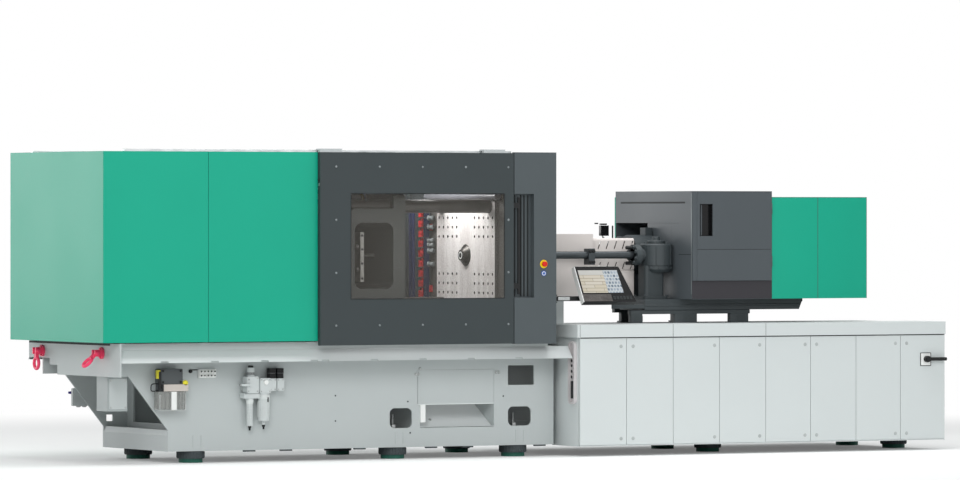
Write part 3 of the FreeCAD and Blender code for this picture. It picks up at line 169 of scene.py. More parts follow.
# The studio floor is pale matt vinyl that fades into the white room away from the machine.
fade_start, fade_end = 6.0, 11.0
floor_lift = 0.15         # how much of the floor's white the camera sees without light
floor = bpy.data.objects.new("studio_floor", closed_mesh("studio_floor", *floor_disc(16.0, 8, 48)))
bpy.context.scene.collection.objects.link(floor)
matt_vinyl, tree, place = empty_finish("matt_vinyl")
reach = add(tree, "VectorMath", {0: place}, operation="LENGTH")
fade = add(tree, "MapRange", {"Value": reach.outputs["Value"], "From Min": fade_start,
                              "From Max": fade_end, "To Min": floor_lift, "To Max": 1.0},
           interpolation_type="SMOOTHSTEP")
ray = add(tree, "LightPath")
lifted = add(tree, "Math", {0: fade.outputs[0], 1: ray.outputs["Is Camera Ray"]},
             operation="MULTIPLY")
speckle = add(tree, "TexNoise", {"Vector": place, "Scale": 30.0, "Detail": 2.0})
tone = add(tree, "Mix", {0: speckle.outputs["Fac"], 6: linear("#F3F4F4"), 7: linear("#FBFBFA")},
           data_type="RGBA")
vinyl = add(tree, "BsdfPrincipled", {"Base Color": tone.outputs[2], "Roughness": 0.85})
glow = add(tree, "Emission", {"Color": (1, 1, 1, 1), "Strength": 1.0})
mixed = add(tree, "MixShader", {0: lifted.outputs[0], 1: vinyl.outputs[0], 2: glow.outputs[0]})
add(tree, "OutputMaterial", {"Surface": mixed.outputs[0]})
floor.data.materials.append(matt_vinyl)

# ---------------------------------------------------------------------------------------
# The welded base: plasma-cut plates, painted light grey. Bolts hold the plate over the
# chute, weld seams stand proud where ribs meet the plate, and lugs stick out below.
mould_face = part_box("fixed_platen")[0].x
FRONT = ((1, 0, 0), (0, 0, 1))
REAR = ((-1, 0, 0), (0, 0, 1))
LEFT = ((0, -1, 0), (0, 0, 1))
TOP = ((1, 0, 0), (0, 1, 0))
UP = (0, 0, 1)            # the ways in which turned shapes grow
BELOW = (0, 0, -1)
OUT = (0, -1, 0)
LEFTWARD = (-1, 0, 0)
RIGHTWARD = (1, 0, 0)


def at(x, y, z):
    """A point whose x is measured along the machine from the fixed platen's mould face."""
    return np.array([mould_face + x, y, z])


def skin(rings):
    """A closed shape from rings of points: quads join ring to ring, and a face closes each end."""
    rings = np.asarray(rings, float)
    count, sides = rings.shape[:2]
    i, j = np.meshgrid(np.arange(count - 1), np.arange(sides), indexing="ij")
    k = (j + 1) % sides
    quads = np.stack([i * sides + j, i * sides + k, (i + 1) * sides + k, (i + 1) * sides + j], -1)
    last = (count - 1) * sides
    faces = quads.reshape(-1, 4).tolist()
    faces += [list(range(sides - 1, -1, -1)), list(range(last, last + sides))]
    points = rings.reshape(-1, 3)
    middle = points.mean(0)
    a, b, c, d = (rings[:-1] - middle, np.roll(rings, -1, 1)[:-1] - middle,
                  np.roll(rings, -1, 1)[1:] - middle, rings[1:] - middle)
    volume = (np.cross(a, b) * c).sum() + (np.cross(a, c) * d).sum()
    ends = np.stack([rings[0][::-1], rings[-1]]) - middle
    fans = np.cross(ends[:, 1:-1], ends[:, 2:]) * ends[:, :1]
    if volume + fans.sum() < 0:
        faces = [face[::-1] for face in faces]
    return points, faces


def turned(profile, start, along, sides=20):
    """A turned shape: profile point (s, r) gives a ring of radius r at start + s * along."""
    along = np.array(along, float)
    u = np.cross(along, (0.31, 0.17, 0.94))
    u = u / np.linalg.norm(u)
    v = np.cross(along, u)
    angle = 2 * np.pi * np.arange(sides) / sides
    circle = np.cos(angle)[:, None] * u + np.sin(angle)[:, None] * v
    s, r = np.array(profile, float).T
    return skin(np.asarray(start) + s[:, None, None] * along + r[:, None, None] * circle)


def rounded_outline(width, height, radius, steps=4):
    """Points (u, v) round a rectangle whose corners are quarter circles."""
    angle = np.linspace(0, np.pi / 2, steps)
    turn = np.concatenate([angle + q * np.pi / 2 for q in range(4)])
    corner = np.repeat([[1, 1], [-1, 1], [-1, -1], [1, -1]], steps, 0)
    centre = corner * [width / 2 - radius, height / 2 - radius]
    return centre + radius * np.stack([np.cos(turn), np.sin(turn)], -1)


def plate(centre, facing, width, height, depth, radius=0.0015, bevel=0.001):
    """A rounded plate that stands depth proud of its centre, with its outer edge bevelled."""
    u, v = np.array(facing, float)
    out = np.cross(u, v)
    wide = rounded_outline(width, height, radius)
    small = rounded_outline(width - 2 * bevel, height - 2 * bevel, max(radius - bevel, 0.0002))
    rings = [(0, wide), (depth - bevel, wide), (depth, small)]
    return skin([np.asarray(centre) + s * out + o[:, :1] * u + o[:, 1:] * v for s, o in rings])


def repeated(shape, places):
    """The same shape at many places, each a shift of it."""
    points, faces = shape
    places = np.asarray(places, float)
    moved = (places[:, None] + points[None]).reshape(-1, 3)
    faces = [[p + n * len(points) for p in face] for n in range(len(places)) for face in faces]
    return moved, faces


def merged(shapes):
    """Several shapes as one."""
    starts = np.cumsum([0] + [len(points) for points, _ in shapes[:-1]])
    faces = [[p + int(s) for p in face] for s, (_, group) in zip(starts, shapes) for face in group]
    return np.concatenate([points for points, _ in shapes]), faces


def piece(name, shapes, finish, body="machine"):
    """Makes one piece of the given shapes, smooth up to 35 degrees, that rides on a body."""
    made = bpy.data.objects.new(name, closed_mesh(name, *merged(shapes)))
    bpy.context.scene.collection.objects.link(made)
    made.data.polygons.foreach_set("use_smooth", [True] * len(made.data.polygons))
    made.data.set_sharp_from_angle(angle=math.radians(35))
    made.data.materials.append(finish)
    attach(made, body)
    return made


def on_front(x, y, z, *size):
    """A plate towards the operator; size is what plate takes from its width on."""
    return plate(at(x, y, z), FRONT, *size)


def coat(finish, *nodes):
    """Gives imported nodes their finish."""
    for node in nodes:
        for material_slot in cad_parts[node].material_slots:
            material_slot.material = finish


def powder_coat(name, colour, shade, roughness=0.45, sheen=0.22):
    """Polyester powder coat baked on sheet steel: one even satin colour with faint orange peel.

    The peel is drawn 14 mm wide, coarser than the real 2 mm, so that it shows. shade is the
    colour of the slightly thinner coat that drifts over the sheet.
    """
    made, tree, place = empty_finish(name)
    drift = add(tree, "TexNoise", {"Vector": place, "Scale": 1.4, "Detail": 3.0})
    grain = add(tree, "TexNoise", {"Vector": place, "Scale": 260.0, "Detail": 2.0})
    tone = add(tree, "Mix", {0: drift.outputs["Fac"], 6: linear(shade), 7: linear(colour)},
               data_type="RGBA")
    gloss = add(tree, "MapRange", {"Value": drift.outputs["Fac"], "To Min": roughness + 0.06,
                                   "To Max": roughness - 0.05})
    peel_pattern = add(tree, "TexNoise", {"Vector": place, "Scale": 70.0, "Detail": 1.0})
    height = add(tree, "Math", {0: peel_pattern.outputs["Fac"], 1: grain.outputs["Fac"]},
                 operation="ADD")
    rounding = add(tree, "Bevel", {"Radius": 0.002}, samples=4)
    bump = add(tree, "Bump", {"Strength": 0.5, "Distance": 0.00025, "Height": height.outputs[0],
                              "Normal": rounding.outputs[0]})
    coat_shader = add(tree, "BsdfPrincipled", {
        "Base Color": tone.outputs[2], "Roughness": gloss.outputs[0],
        "Normal": bump.outputs[0], "IOR": 1.5, "Specular IOR Level": sheen})
    add(tree, "OutputMaterial", {"Surface": coat_shader.outputs[0]})
    return made


def bare_steel(name, colour, streak_colour, roughness, stretch, grain_mm=1.5, bump_mm=0.04,
               metallic=1.0):
    """Machined or plated steel: tool marks as noise pulled long in one direction.

    stretch gives how many times longer the marks are along X, Y and Z. Their width is
    grain_mm, wider than real tool marks, so that they show.
    """
    made, tree, place = empty_finish(name)
    across = 1000 / grain_mm
    pulled = add(tree, "Mapping", {"Vector": place, "Scale": [across / s for s in stretch]})
    marks = add(tree, "TexNoise", {"Vector": pulled.outputs[0], "Scale": 1.0, "Detail": 3.0})
    patches = add(tree, "TexNoise", {"Vector": place, "Scale": 9.0, "Detail": 4.0})
    tone_value = add(tree, "Math", {0: marks.outputs["Fac"], 1: patches.outputs["Fac"]},
                     operation="MULTIPLY")
    spread = add(tree, "MapRange", {"Value": tone_value.outputs[0], "From Min": 0.12,
                                    "From Max": 0.42})
    tone = add(tree, "Mix", {0: spread.outputs[0], 6: linear(streak_colour), 7: linear(colour)},
               data_type="RGBA")
    gloss = add(tree, "MapRange", {"Value": marks.outputs["Fac"], "From Min": 0.3, "From Max": 0.7,
                                   "To Min": roughness + 0.08, "To Max": roughness - 0.05})
    rounding = add(tree, "Bevel", {"Radius": 0.0015}, samples=4)
    bump = add(tree, "Bump", {"Strength": 0.6, "Distance": bump_mm / 1000,
                              "Height": marks.outputs["Fac"], "Normal": rounding.outputs[0]})
    steel = add(tree, "BsdfPrincipled", {
        "Base Color": tone.outputs[2], "Metallic": metallic, "Roughness": gloss.outputs[0],
        "Normal": bump.outputs[0]})
    add(tree, "OutputMaterial", {"Surface": steel.outputs[0]})
    return made


base_paint = powder_coat("base_powder_coat", "#BCC2C2", "#B5BBBB", roughness=0.5)
ledge_paint = powder_coat("ledge_powder_coat", "#CDD2D2", "#C3C9C9", roughness=0.42)
zinc_steel = bare_steel("zinc_plated_steel", "#C9CCCB", "#9DA1A1", 0.34, (3, 3, 3), 2.0)
dark_inside = powder_coat("dark_service_paint", "#4A5052", "#3E4446", roughness=0.55)


def two_tone(finish, colour, height, above):
    """Gives a paint another colour above a height, or else below it."""
    tree = finish.node_tree
    place = add(tree, "SeparateXYZ", {0: add(tree, "TexCoord").outputs["Object"]})
    over = add(tree, "Math", {0: place.outputs["Z"], 1: height}, operation="GREATER_THAN")
    painted = tree.nodes["Principled BSDF"].inputs["Base Color"]
    paint = painted.links[0].from_socket
    low, high = (paint, linear(colour)) if above else (linear(colour), paint)
    tone = add(tree, "Mix", {0: over.outputs[0], 6: low, 7: high}, data_type="RGBA")
    tree.links.new(tone.outputs[2], painted)
    return finish
coat(base_paint, "base_frame")
# Painted light: below this height the chute is painted paler than above it, where the plate over
# its mouth shades it.
chute_painted_light_height = 0.400       # the chute is paler below the plate over its mouth
chute_paint_with_painted_light = powder_coat("chute_powder_coat_painted_light", "#BCC2C2", "#B5BBBB", roughness=0.5)
coat(two_tone(chute_paint_with_painted_light, "#D9DEDE", chute_painted_light_height, above=False), "parts_chute")
coat(ledge_paint, "side_ledges")
base_face = -0.55         # outer face of the front side plate
bottom_edge = 0.085


def hex_bolt(place, facing, size):
    """A washer and a bevelled hexagon head; size is the head's width across corners."""
    out = np.cross(*np.array(facing, float))
    washer = turned([(0, size * 0.62), (size * 0.1, size * 0.62), (size * 0.12, size * 0.58)],
                    place, out, 18)
    head = turned([(size * 0.12, size / 2), (size * 0.42, size / 2), (size * 0.5, size * 0.42)],
                  place, out, 6)
    return merged([washer, head])


cover_bolts = [(-0.712, 0.620), (-0.690, 0.620), (-0.678, 0.660), (-0.040, 0.626),
               (-0.018, 0.626)]
piece("chute_cover_bolts", [hex_bolt(at(x, base_face, z), FRONT, 0.02) for x, z in cover_bolts],
      zinc_steel)
piece("chute_cover_lip", [on_front(-0.6905, base_face, 0.50, 0.012, 0.20, 0.004)],
      base_paint)

# Plug welds show as two low ridges over each levelling foot.
foot_x = (-2.500, -0.850, 0.160)
ridge = plate((0, 0, 0), FRONT, 0.007, 0.09, 0.003, 0.003, 0.0015)
ridges = [at(x + side * 0.032, base_face, 0.155) for x in foot_x for side in (-1, 1)]
piece("weld_seams", [repeated(ridge, ridges)], base_paint)

# Lugs of the bottom flange hang below the side plate; small plugs close unused holes.
lug = plate((0, 0, 0), FRONT, 0.09, 0.012, 0.03, 0.002)
lugs = [at(x, base_face + 0.031, bottom_edge - 0.005)
        for x in (-2.074, -1.775, -1.171, -0.578, -0.276, 0.336)]
piece("bottom_lugs", [repeated(lug, lugs)], dark_inside)
plugs = [at(x, base_face, z) for x, z in ((-1.378, 0.471), (-1.378, 0.286), (0.02, 0.45),
                                          (-0.76, 0.19), (-0.78, 0.42))]
plug = turned([(0, 0.006), (0.002, 0.006), (0.004, 0.003)], (0, 0, 0), OUT, 12)
piece("hole_plugs", [repeated(plug, plugs)], dark_inside)


def moulded_plastic(name, colour, shade, roughness=0.4):
    """Injection-moulded plastic: even colour and a fine spark-eroded texture.

    The texture is drawn 2.5 mm wide, coarser than the real 0.1 mm.
    """
    made, tree, place = empty_finish(name)
    texture = add(tree, "TexNoise", {"Vector": place, "Scale": 1000 / 2.5, "Detail": 2.0})
    drift = add(tree, "TexNoise", {"Vector": place, "Scale": 12.0, "Detail": 2.0})
    tone = add(tree, "Mix", {0: drift.outputs["Fac"], 6: linear(shade), 7: linear(colour)},
               data_type="RGBA")
    gloss = add(tree, "MapRange", {"Value": texture.outputs["Fac"], "To Min": roughness - 0.06,
                                   "To Max": roughness + 0.06})
    rounding = add(tree, "Bevel", {"Radius": 0.0015}, samples=4)
    bump = add(tree, "Bump", {"Strength": 0.4, "Distance": 0.0002,
                              "Height": texture.outputs["Fac"], "Normal": rounding.outputs[0]})
    plastic = add(tree, "BsdfPrincipled", {
        "Base Color": tone.outputs[2], "Roughness": gloss.outputs[0], "Normal": bump.outputs[0],
        "IOR": 1.47, "Specular IOR Level": 0.3})
    add(tree, "OutputMaterial", {"Surface": plastic.outputs[0]})
    return made


# A white strip at the chute's left wall is painted light: it stands for the white room seen through
# the chute.
white_plastic = moulded_plastic("white_polyethylene", "#F1F2F0", "#E6E8E6", 0.45)
chute_left = -0.677
piece("chute_painted_backdrop_strip", [on_front(chute_left + 0.0205, base_face + 0.05, 0.33, 0.041, 0.13, 0.058,
                               0.004)],
      white_plastic)
chute_slope = ((1, 0, 0), (0, 0.504, 0.864))
piece("chute_screw", [hex_bolt(at(-0.53, -0.425, 0.277), chute_slope, 0.02)],
      zinc_steel)

# ---------------------------------------------------------------------------------------
# Levelling feet: ribbed black rubber pads over a green plastic tray. A threaded spindle
# with a lock nut stands on each front foot and is reached through the port above it.


def rubber_and_tray(name, tray_height):
    """Black nitrile rubber, dusty and matt, on a green polyamide tray below tray_height."""
    made, tree, place = empty_finish(name)
    height = add(tree, "SeparateXYZ", {0: place}).outputs["Z"]
    above = add(tree, "Math", {0: height, 1: tray_height}, operation="GREATER_THAN")
    dust = add(tree, "TexNoise", {"Vector": place, "Scale": 60.0, "Detail": 4.0})
    rubber = add(tree, "Mix", {0: dust.outputs["Fac"], 6: linear("#30373A"), 7: linear("#454D50")},
                 data_type="RGBA")
    tray = add(tree, "Mix", {0: dust.outputs["Fac"], 6: linear("#125042"), 7: linear("#1A6050")},
               data_type="RGBA")
    tone = add(tree, "Mix", {0: above.outputs[0], 6: tray.outputs[2], 7: rubber.outputs[2]},
               data_type="RGBA")
    bump = add(tree, "Bump", {"Strength": 0.5, "Distance": 0.0005, "Height": dust.outputs["Fac"]})
    shader = add(tree, "BsdfPrincipled", {"Base Color": tone.outputs[2], "Roughness": 0.7,
                                          "Normal": bump.outputs[0]})
    add(tree, "OutputMaterial", {"Surface": shader.outputs[0]})
    return made


foot_tray_height = 0.03
foot_rubber = rubber_and_tray("nitrile_rubber_on_tray", foot_tray_height)
coat(foot_rubber, "machine_feet")
pad_rows = [(x, 0.44, bottom_edge) for x in foot_x] + [(1.900, 0.34, 0.076), (3.560, 0.34, 0.076)]
pad_radius = 0.1
rib_angle = 2 * np.pi * np.arange(28) / 28
spokes = np.stack([np.cos(rib_angle), np.sin(rib_angle), 0 * rib_angle], -1)
rod, rod_faces = turned([(-0.5, 0.004), (0.5, 0.004)], (0, 0, 0), UP, 6)
ribs = []
for x, y, top in pad_rows:
    rib = (rod * [1, 1, top - foot_tray_height - 0.012], rod_faces)
    for side in (-1, 1):
        middle = at(x, side * y, (foot_tray_height + top) / 2)
        ribs.append(repeated(rib, middle + (pad_radius - 0.0005) * spokes))
piece("foot_ribs", ribs, foot_rubber)

thread_pitch = 0.008
turns = np.arange(0, 0.24, thread_pitch / 2)
thread = np.stack([turns, np.where(np.arange(len(turns)) % 2 == 0, 0.0115, 0.0135)], -1)
lock_nut = [(0, 0.026), (0.022, 0.026), (0.026, 0.022)]
spindles = []
for x in foot_x:
    spindles.append(turned(thread, at(x, -0.44, bottom_edge), UP, 16))
    spindles.append(turned(lock_nut, at(x, -0.44, 0.225), UP, 6))
piece("foot_spindles", spindles, zinc_steel)

# ---------------------------------------------------------------------------------------
# Lifting eyes on the end beam: forged steel in signal-red enamel. A bolt passes through each
# eye's socket, and two small ones hold the socket to the beam.
eye_enamel = powder_coat("red_forging_enamel", "#FA4E74", "#EE446A", roughness=0.35)
coat(eye_enamel, "lifting_eye_sockets", "lifting_ring_1", "lifting_ring_2")
beam_face = -3.234        # outer face of the end beam
eye_z = 0.8
for number, y in ((1, 0.520), (2, -0.500)):
    heads = [hex_bolt(at(beam_face - 0.05, y - 0.03, eye_z), FRONT, 0.028),
             hex_bolt(at(beam_face - 0.05, y + 0.03, eye_z), REAR, 0.028)]
    heads += [hex_bolt(at(beam_face - 0.014, y, eye_z + dz), LEFT, 0.013)
              for dz in (0.031, -0.031)]
    piece("eye_bolts_%d" % number, heads, eye_enamel)

# ---------------------------------------------------------------------------------------
# Terminal box under the end beam: folded sheet steel in grey paint. Its lid has the paint of
# the base and is held by four plated screws.
coat(powder_coat("terminal_box_paint", "#A4ABAB", "#9AA1A1", roughness=0.4), "service_box")
box_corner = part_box("service_box")[0]
lid_x, lid_y, lid_z = box_corner.x + 0.104, box_corner.y, (box_corner.z + 0.63) / 2
lid = plate((lid_x, lid_y, lid_z), FRONT, 0.14, 0.22, 0.003, 0.004)
lid_screws = [hex_bolt((lid_x + sx * 0.058, lid_y - 0.003, lid_z + sz * 0.097), FRONT, 0.012)
              for sx in (-1, 1) for sz in (-1, 1)]
piece("terminal_box_lid", [lid], base_paint)
piece("terminal_box_screws", lid_screws, zinc_steel)

# ---------------------------------------------------------------------------------------
# Cooling water taps on the far side plate: a blue and a red moulded coupling over two plated
# strainers, all on a painted bracket.
rear_face = 0.55
tap_y = rear_face + 0.06
piece("tap_bracket", [plate(at(-2.902, rear_face, 0.455), REAR, 0.15, 0.13, 0.03, 0.004)],
      base_paint)
tap = [(0, 0.012), (0.01, 0.012), (0.012, 0.019), (0.04, 0.019), (0.044, 0.014),
       (0.062, 0.014), (0.066, 0.01), (0.085, 0.009)]
blue_plastic = moulded_plastic("blue_coupling_plastic", "#3A2E8C", "#30277A", 0.35)
red_plastic = moulded_plastic("red_coupling_plastic", "#B8203A", "#A01C34", 0.35)
piece("supply_tap", [turned(tap, at(-2.90, tap_y, 0.486), LEFTWARD, 18)],
      blue_plastic)
piece("return_tap", [turned(tap, at(-2.86, tap_y, 0.475), LEFTWARD, 18)],
      red_plastic)
strainer = turned([(0, 0.016), (0.008, 0.021), (0.07, 0.021), (0.078, 0.012)], (0, 0, 0),
                  BELOW, 18)
strainer_bar = plate(at(-2.88, rear_face + 0.03, 0.47), REAR, 0.13, 0.03, 0.045, 0.004)
strainers = repeated(strainer, [at(x, tap_y, 0.456) for x in (-2.905, -2.858)])
piece("water_strainers", [strainers, strainer_bar], zinc_steel)

# ---------------------------------------------------------------------------------------
# Lubrication: a grease pump in a dark cast housing on a light distributor bar, over a clear
# reservoir. Yellow fittings, a thin black grease pipe and a white level strip belong to it.


def clear_plastic(name, colour, opacity, roughness):
    """Blow-moulded or cast clear plastic: part of the light passes, the rest shows its tint."""
    made, tree, place = empty_finish(name)
    cloud = add(tree, "TexNoise", {"Vector": place, "Scale": 14.0, "Detail": 3.0})
    bump = add(tree, "Bump", {"Strength": 0.3, "Distance": 0.0003, "Height": cloud.outputs["Fac"]})
    shader = add(tree, "BsdfPrincipled", {
        "Base Color": linear(colour), "Roughness": roughness, "Alpha": opacity, "IOR": 1.5,
        "Normal": bump.outputs[0]})
    add(tree, "OutputMaterial", {"Surface": shader.outputs[0]})
    return made


def pipe(route, radius, sides=10, bend=0.03, steps=5):
    """A bent pipe: straight runs along the route, and at each corner a parabola that starts
    and ends one bend length from it. Rings are turned as little as possible along the way."""
    route = np.array(route, float)
    line = [route[0]]
    for before, corner, after in zip(route, route[1:], route[2:]):
        start = corner + (before - corner) * min(bend / np.linalg.norm(before - corner), 0.5)
        end = corner + (after - corner) * min(bend / np.linalg.norm(after - corner), 0.5)
        t = np.linspace(0, 1, steps)[:, None]
        line += list((1 - t) ** 2 * start + 2 * t * (1 - t) * corner + t ** 2 * end)
    line.append(route[-1])
    line = np.array(line)
    heading = np.gradient(line, axis=0)
    heading /= np.linalg.norm(heading, axis=1)[:, None]
    side = np.cross(heading[0], (0.3, 0.2, 0.9))
    angle = 2 * np.pi * np.arange(sides) / sides
    rings = []
    for middle, ahead in zip(line, heading):
        side = side - ahead * (side @ ahead)
        side = side / np.linalg.norm(side)
        other = np.cross(ahead, side)
        ring = np.cos(angle)[:, None] * side + np.sin(angle)[:, None] * other
        rings.append(middle + radius * ring)
    return skin(rings)


def route(*corners):
    """A pipe's corners, measured along the machine from the mould face."""
    return [at(*corner) for corner in corners]


def four_places(x, y, z, dx, dz):
    """The corners of an upright rectangle that reaches dx and dz from its middle."""
    return [at(x + sx * dx, y, z + sz * dz) for sx in (-1, 1) for sz in (-1, 1)]


pump_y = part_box("lubrication_unit")[0].y
coat(powder_coat("pump_casting_paint", "#55595B", "#4A4E50", roughness=0.4), "lubrication_unit")
coat(clear_plastic("clear_reservoir_plastic", "#A9ABA8", 0.45, 0.12), "oil_reservoir")
piece("distributor_front", [on_front(-2.722, pump_y, 0.5475, 0.205, 0.05, 0.006, 0.003)],
      moulded_plastic("beige_distributor", "#CBC3BC", "#BFB7B0", 0.4))
yellow_plastic = moulded_plastic("yellow_fitting_plastic", "#E6DC45", "#D8CC30", 0.35)
fitting = turned([(0, 0.02), (0.012, 0.02), (0.014, 0.015), (0.03, 0.015), (0.034, 0.024),
                  (0.06, 0.024), (0.066, 0.016)],
                 at(-2.675, pump_y + 0.03, 0.578), (0.86, 0, -0.5), 18)
cap = turned([(0, 0.022), (0.012, 0.022), (0.018, 0.016)], at(-2.64, pump_y + 0.012, 0.58),
             OUT, 18)
strip = on_front(-2.852, pump_y + 0.03, 0.645, 0.022, 0.062, 0.032, 0.003)
piece("grease_fittings", [fitting, cap, strip], yellow_plastic)
black_plastic = moulded_plastic("black_glass_filled_nylon", "#1C1E1F", "#141516", 0.42)
piece("pump_flange", [on_front(-2.845, pump_y + 0.01, 0.60, 0.018, 0.13, 0.02, 0.003),
                      on_front(-2.826, pump_y - 0.006, 0.5475, 0.014, 0.05, 0.008, 0.002)],
      black_plastic)
pipe_y = pump_y + 0.04
grease_route = route((-2.84, pipe_y, 0.578), (-2.895, pipe_y, 0.576), (-2.897, pipe_y, 0.522),
                     (-2.835, pipe_y, 0.527))
piece("grease_pipe", [pipe(grease_route, 0.004, 8, 0.02)], black_plastic)
piece("level_strip", [on_front(-2.731, -0.6425, 0.452, 0.042, 0.135, 0.004, 0.002)],
      white_plastic)
stay_y, stay_low, stay_high = -0.646, 0.385, 0.50
stay_route = route((-2.845, stay_y, stay_high), (-2.845, stay_y, stay_low),
                   (-2.64, stay_y, stay_low), (-2.64, stay_y, stay_high))
piece("reservoir_stay", [pipe(stay_route, 0.0035, 8, 0.012)], zinc_steel)
ribs = [on_front(x, -0.6415, 0.455, 0.006, 0.12, 0.003, 0.002)
        for x in (-2.80, -2.765, -2.69, -2.665)]
piece("reservoir_ribs", ribs, clear_plastic("reservoir_rib_plastic", "#8E918F", 0.6, 0.2))
pump_corners = four_places(-2.75, pump_y - 0.005, 0.629, 0.07, 0.04)
piece("pump_screws", [hex_bolt(corner, FRONT, 0.013) for corner in pump_corners],
      black_plastic)

# The distributor block to the right has two rows of white push-in fittings.
fittings = [(-2.480 + 0.027 * i, 0.661 - 0.03 * row) for i in range(5) for row in (0, 1)]
sockets = [on_front(x, base_face - 0.018, z, 0.02, 0.022, 0.012, 0.003) for x, z in fittings]
sockets.append(on_front(-2.426, base_face, 0.646, 0.14, 0.062, 0.018, 0.003))
piece("socket_strip", sockets, white_plastic)
eyelet = [(0, 0.006), (0.003, 0.006), (0.004, 0.004)]
eyelets = [turned(eyelet, at(x, base_face - 0.030, z), OUT, 12) for x, z in fittings]
gland = turned([(0, 0.014), (0.01, 0.014), (0.016, 0.01)], at(-2.556, base_face, 0.663), OUT, 14)
gland_bar = on_front(-2.525, base_face, 0.672, 0.05, 0.006, 0.006)
piece("socket_holes", eyelets + [gland, gland_bar], black_plastic)

# ---------------------------------------------------------------------------------------
# Air service unit: light glass-filled nylon modules with milky bowls, black solenoid coils
# on the two valves, a gauge, and the screws that tie the modules together.
unit_plastic = moulded_plastic("light_grey_nylon", "#CDD2D2", "#BEC4C4", 0.4)
bowl_plastic = moulded_plastic("milky_bowl_plastic", "#D9DDDC", "#C8CDCC", 0.25)
coat(unit_plastic, "air_service_unit", "regulator_knob", "shutoff_lever")
unit_y = -0.6
bowl_x, filter_x, knob_x = -2.102, -1.990, -2.094
valves_x = (-1.925, -1.862)
coils = []
for x in valves_x:
    coils.append(plate(at(x, -0.5965, 0.6445), TOP, 0.052, 0.053, 0.034, 0.004, 0.003))
    coils.append(plate(at(x, -0.5965, 0.6045), TOP, 0.050, 0.051, 0.038, 0.004, 0.001))
    coils += [on_front(x, -0.623, 0.612 + 0.009 * i, 0.044, 0.004, 0.003) for i in range(7)]
piece("valve_coils", coils, black_plastic)
guards = [turned([(0, 0.0262), (0.003, 0.0262)], at(bowl_x, unit_y, 0.30 + 0.022 * i), UP, 24)
          for i in range(7)]
guards.append(turned([(0, 0.0255), (0.015, 0.029), (0.04, 0.029), (0.045, 0.026)],
                     at(bowl_x, unit_y, 0.42), UP, 24))
angle = 2 * np.pi * np.arange(18) / 18
around = np.stack([0.0425 * np.cos(angle), 0.0425 * np.sin(angle), 0 * angle], -1)
flute = turned([(-0.06, 0.0022), (0.06, 0.0022)], (0, 0, 0), UP, 6)
guards.append(repeated(flute, at(filter_x, unit_y, 0.385) + around))
guards.append(turned([(0, 0.0435), (0.004, 0.046), (0.03, 0.046), (0.034, 0.043)],
                     at(filter_x, unit_y, 0.455), UP, 28))
piece("bowl_guards", guards, bowl_plastic)
drains = [turned([(0, 0.012), (0.01, 0.012), (0.02, 0.007), (0.032, 0.007)], at(x, unit_y, z),
                 BELOW, 14) for x, z in ((bowl_x, 0.262), (filter_x, 0.270))]
gauge_window = on_front(-1.975, -0.6425, 0.452, 0.008, 0.035, 0.004, 0.002)
piece("bowl_drains", drains + [gauge_window], black_plastic)
grips = [turned([(0, 0.0285), (0.003, 0.0285)], at(knob_x, unit_y, 0.635 + 0.006 * i), UP, 24)
         for i in range(3)]
grips.append(turned([(0, 0.02), (0.012, 0.02), (0.016, 0.014)], at(knob_x, unit_y, 0.685), UP, 20))
piece("knob_grip_rings", grips, black_plastic, "regulator")
unit_front = -0.64
tie_screws = four_places(knob_x, unit_front, 0.561, 0.036, 0.046)
tie_screws += four_places(-1.9905, -0.635, 0.554, 0.034, 0.042)
for x in valves_x:
    tie_screws += four_places(x, -0.625, 0.56, 0.018, 0.034)
socket_head = turned([(0, 0.0055), (0.003, 0.0055), (0.0042, 0.0045)], (0, 0, 0), OUT, 12)
piece("unit_tie_screws", [repeated(socket_head, tie_screws)], zinc_steel)
joint_lines = [on_front(-2.041, -0.632, 0.56, 0.012, 0.096, 0.006, 0.002),
               on_front(-2.100, -0.6355, 0.497, 0.118, 0.006, 0.003),
               on_front(-2.128, unit_front, 0.60, 0.012, 0.012, 0.004, 0.003)]
piece("module_joints", joint_lines, moulded_plastic("grey_joint_plastic", "#9AA0A0", "#8C9292"))
gauge = turned([(0, 0.018), (0.012, 0.018), (0.016, 0.0165), (0.0165, 0.012)],
               at(-1.9905, -0.635, 0.578), OUT, 24)
piece("pressure_gauge", [gauge], white_plastic)
inlet = turned([(0, 0.013), (0.02, 0.013), (0.022, 0.01), (0.04, 0.01)],
               at(-2.141, unit_y, 0.56), LEFTWARD, 16)
piece("air_inlet", [inlet], zinc_steel)

# ---------------------------------------------------------------------------------------
# Clamping unit: cast iron platens, one with a milled mounting face partly in painted sheen,
# tie bars painted dark for their shade, a chromed ram, an ejector plate in the moving platen's
# pocket and a cylinder on its top painted light.


def cast_iron(name, colour, shade, grain_depth=0.0006):
    """Sand-cast iron under a thin coat of machine enamel: the sand's grain shows through.

    The grain is drawn 7 mm wide, coarser than the real 1 mm.
    """
    made, tree, place = empty_finish(name)
    sand = add(tree, "TexNoise", {"Vector": place, "Scale": 1000 / 7, "Detail": 4.0,
                                  "Roughness": 0.65})
    drift = add(tree, "TexNoise", {"Vector": place, "Scale": 3.5, "Detail": 4.0})
    tone = add(tree, "Mix", {0: drift.outputs["Fac"], 6: linear(shade), 7: linear(colour)},
               data_type="RGBA")
    gloss = add(tree, "MapRange", {"Value": sand.outputs["Fac"], "To Min": 0.45,
                                   "To Max": 0.65})
    rounding = add(tree, "Bevel", {"Radius": 0.006}, samples=4)
    bump = add(tree, "Bump", {"Strength": 0.7, "Distance": grain_depth,
                              "Height": sand.outputs["Fac"],
                              "Normal": rounding.outputs[0]})
    iron = add(tree, "BsdfPrincipled", {
        "Base Color": tone.outputs[2], "Roughness": gloss.outputs[0], "Normal": bump.outputs[0]})
    add(tree, "OutputMaterial", {"Surface": iron.outputs[0]})
    return made


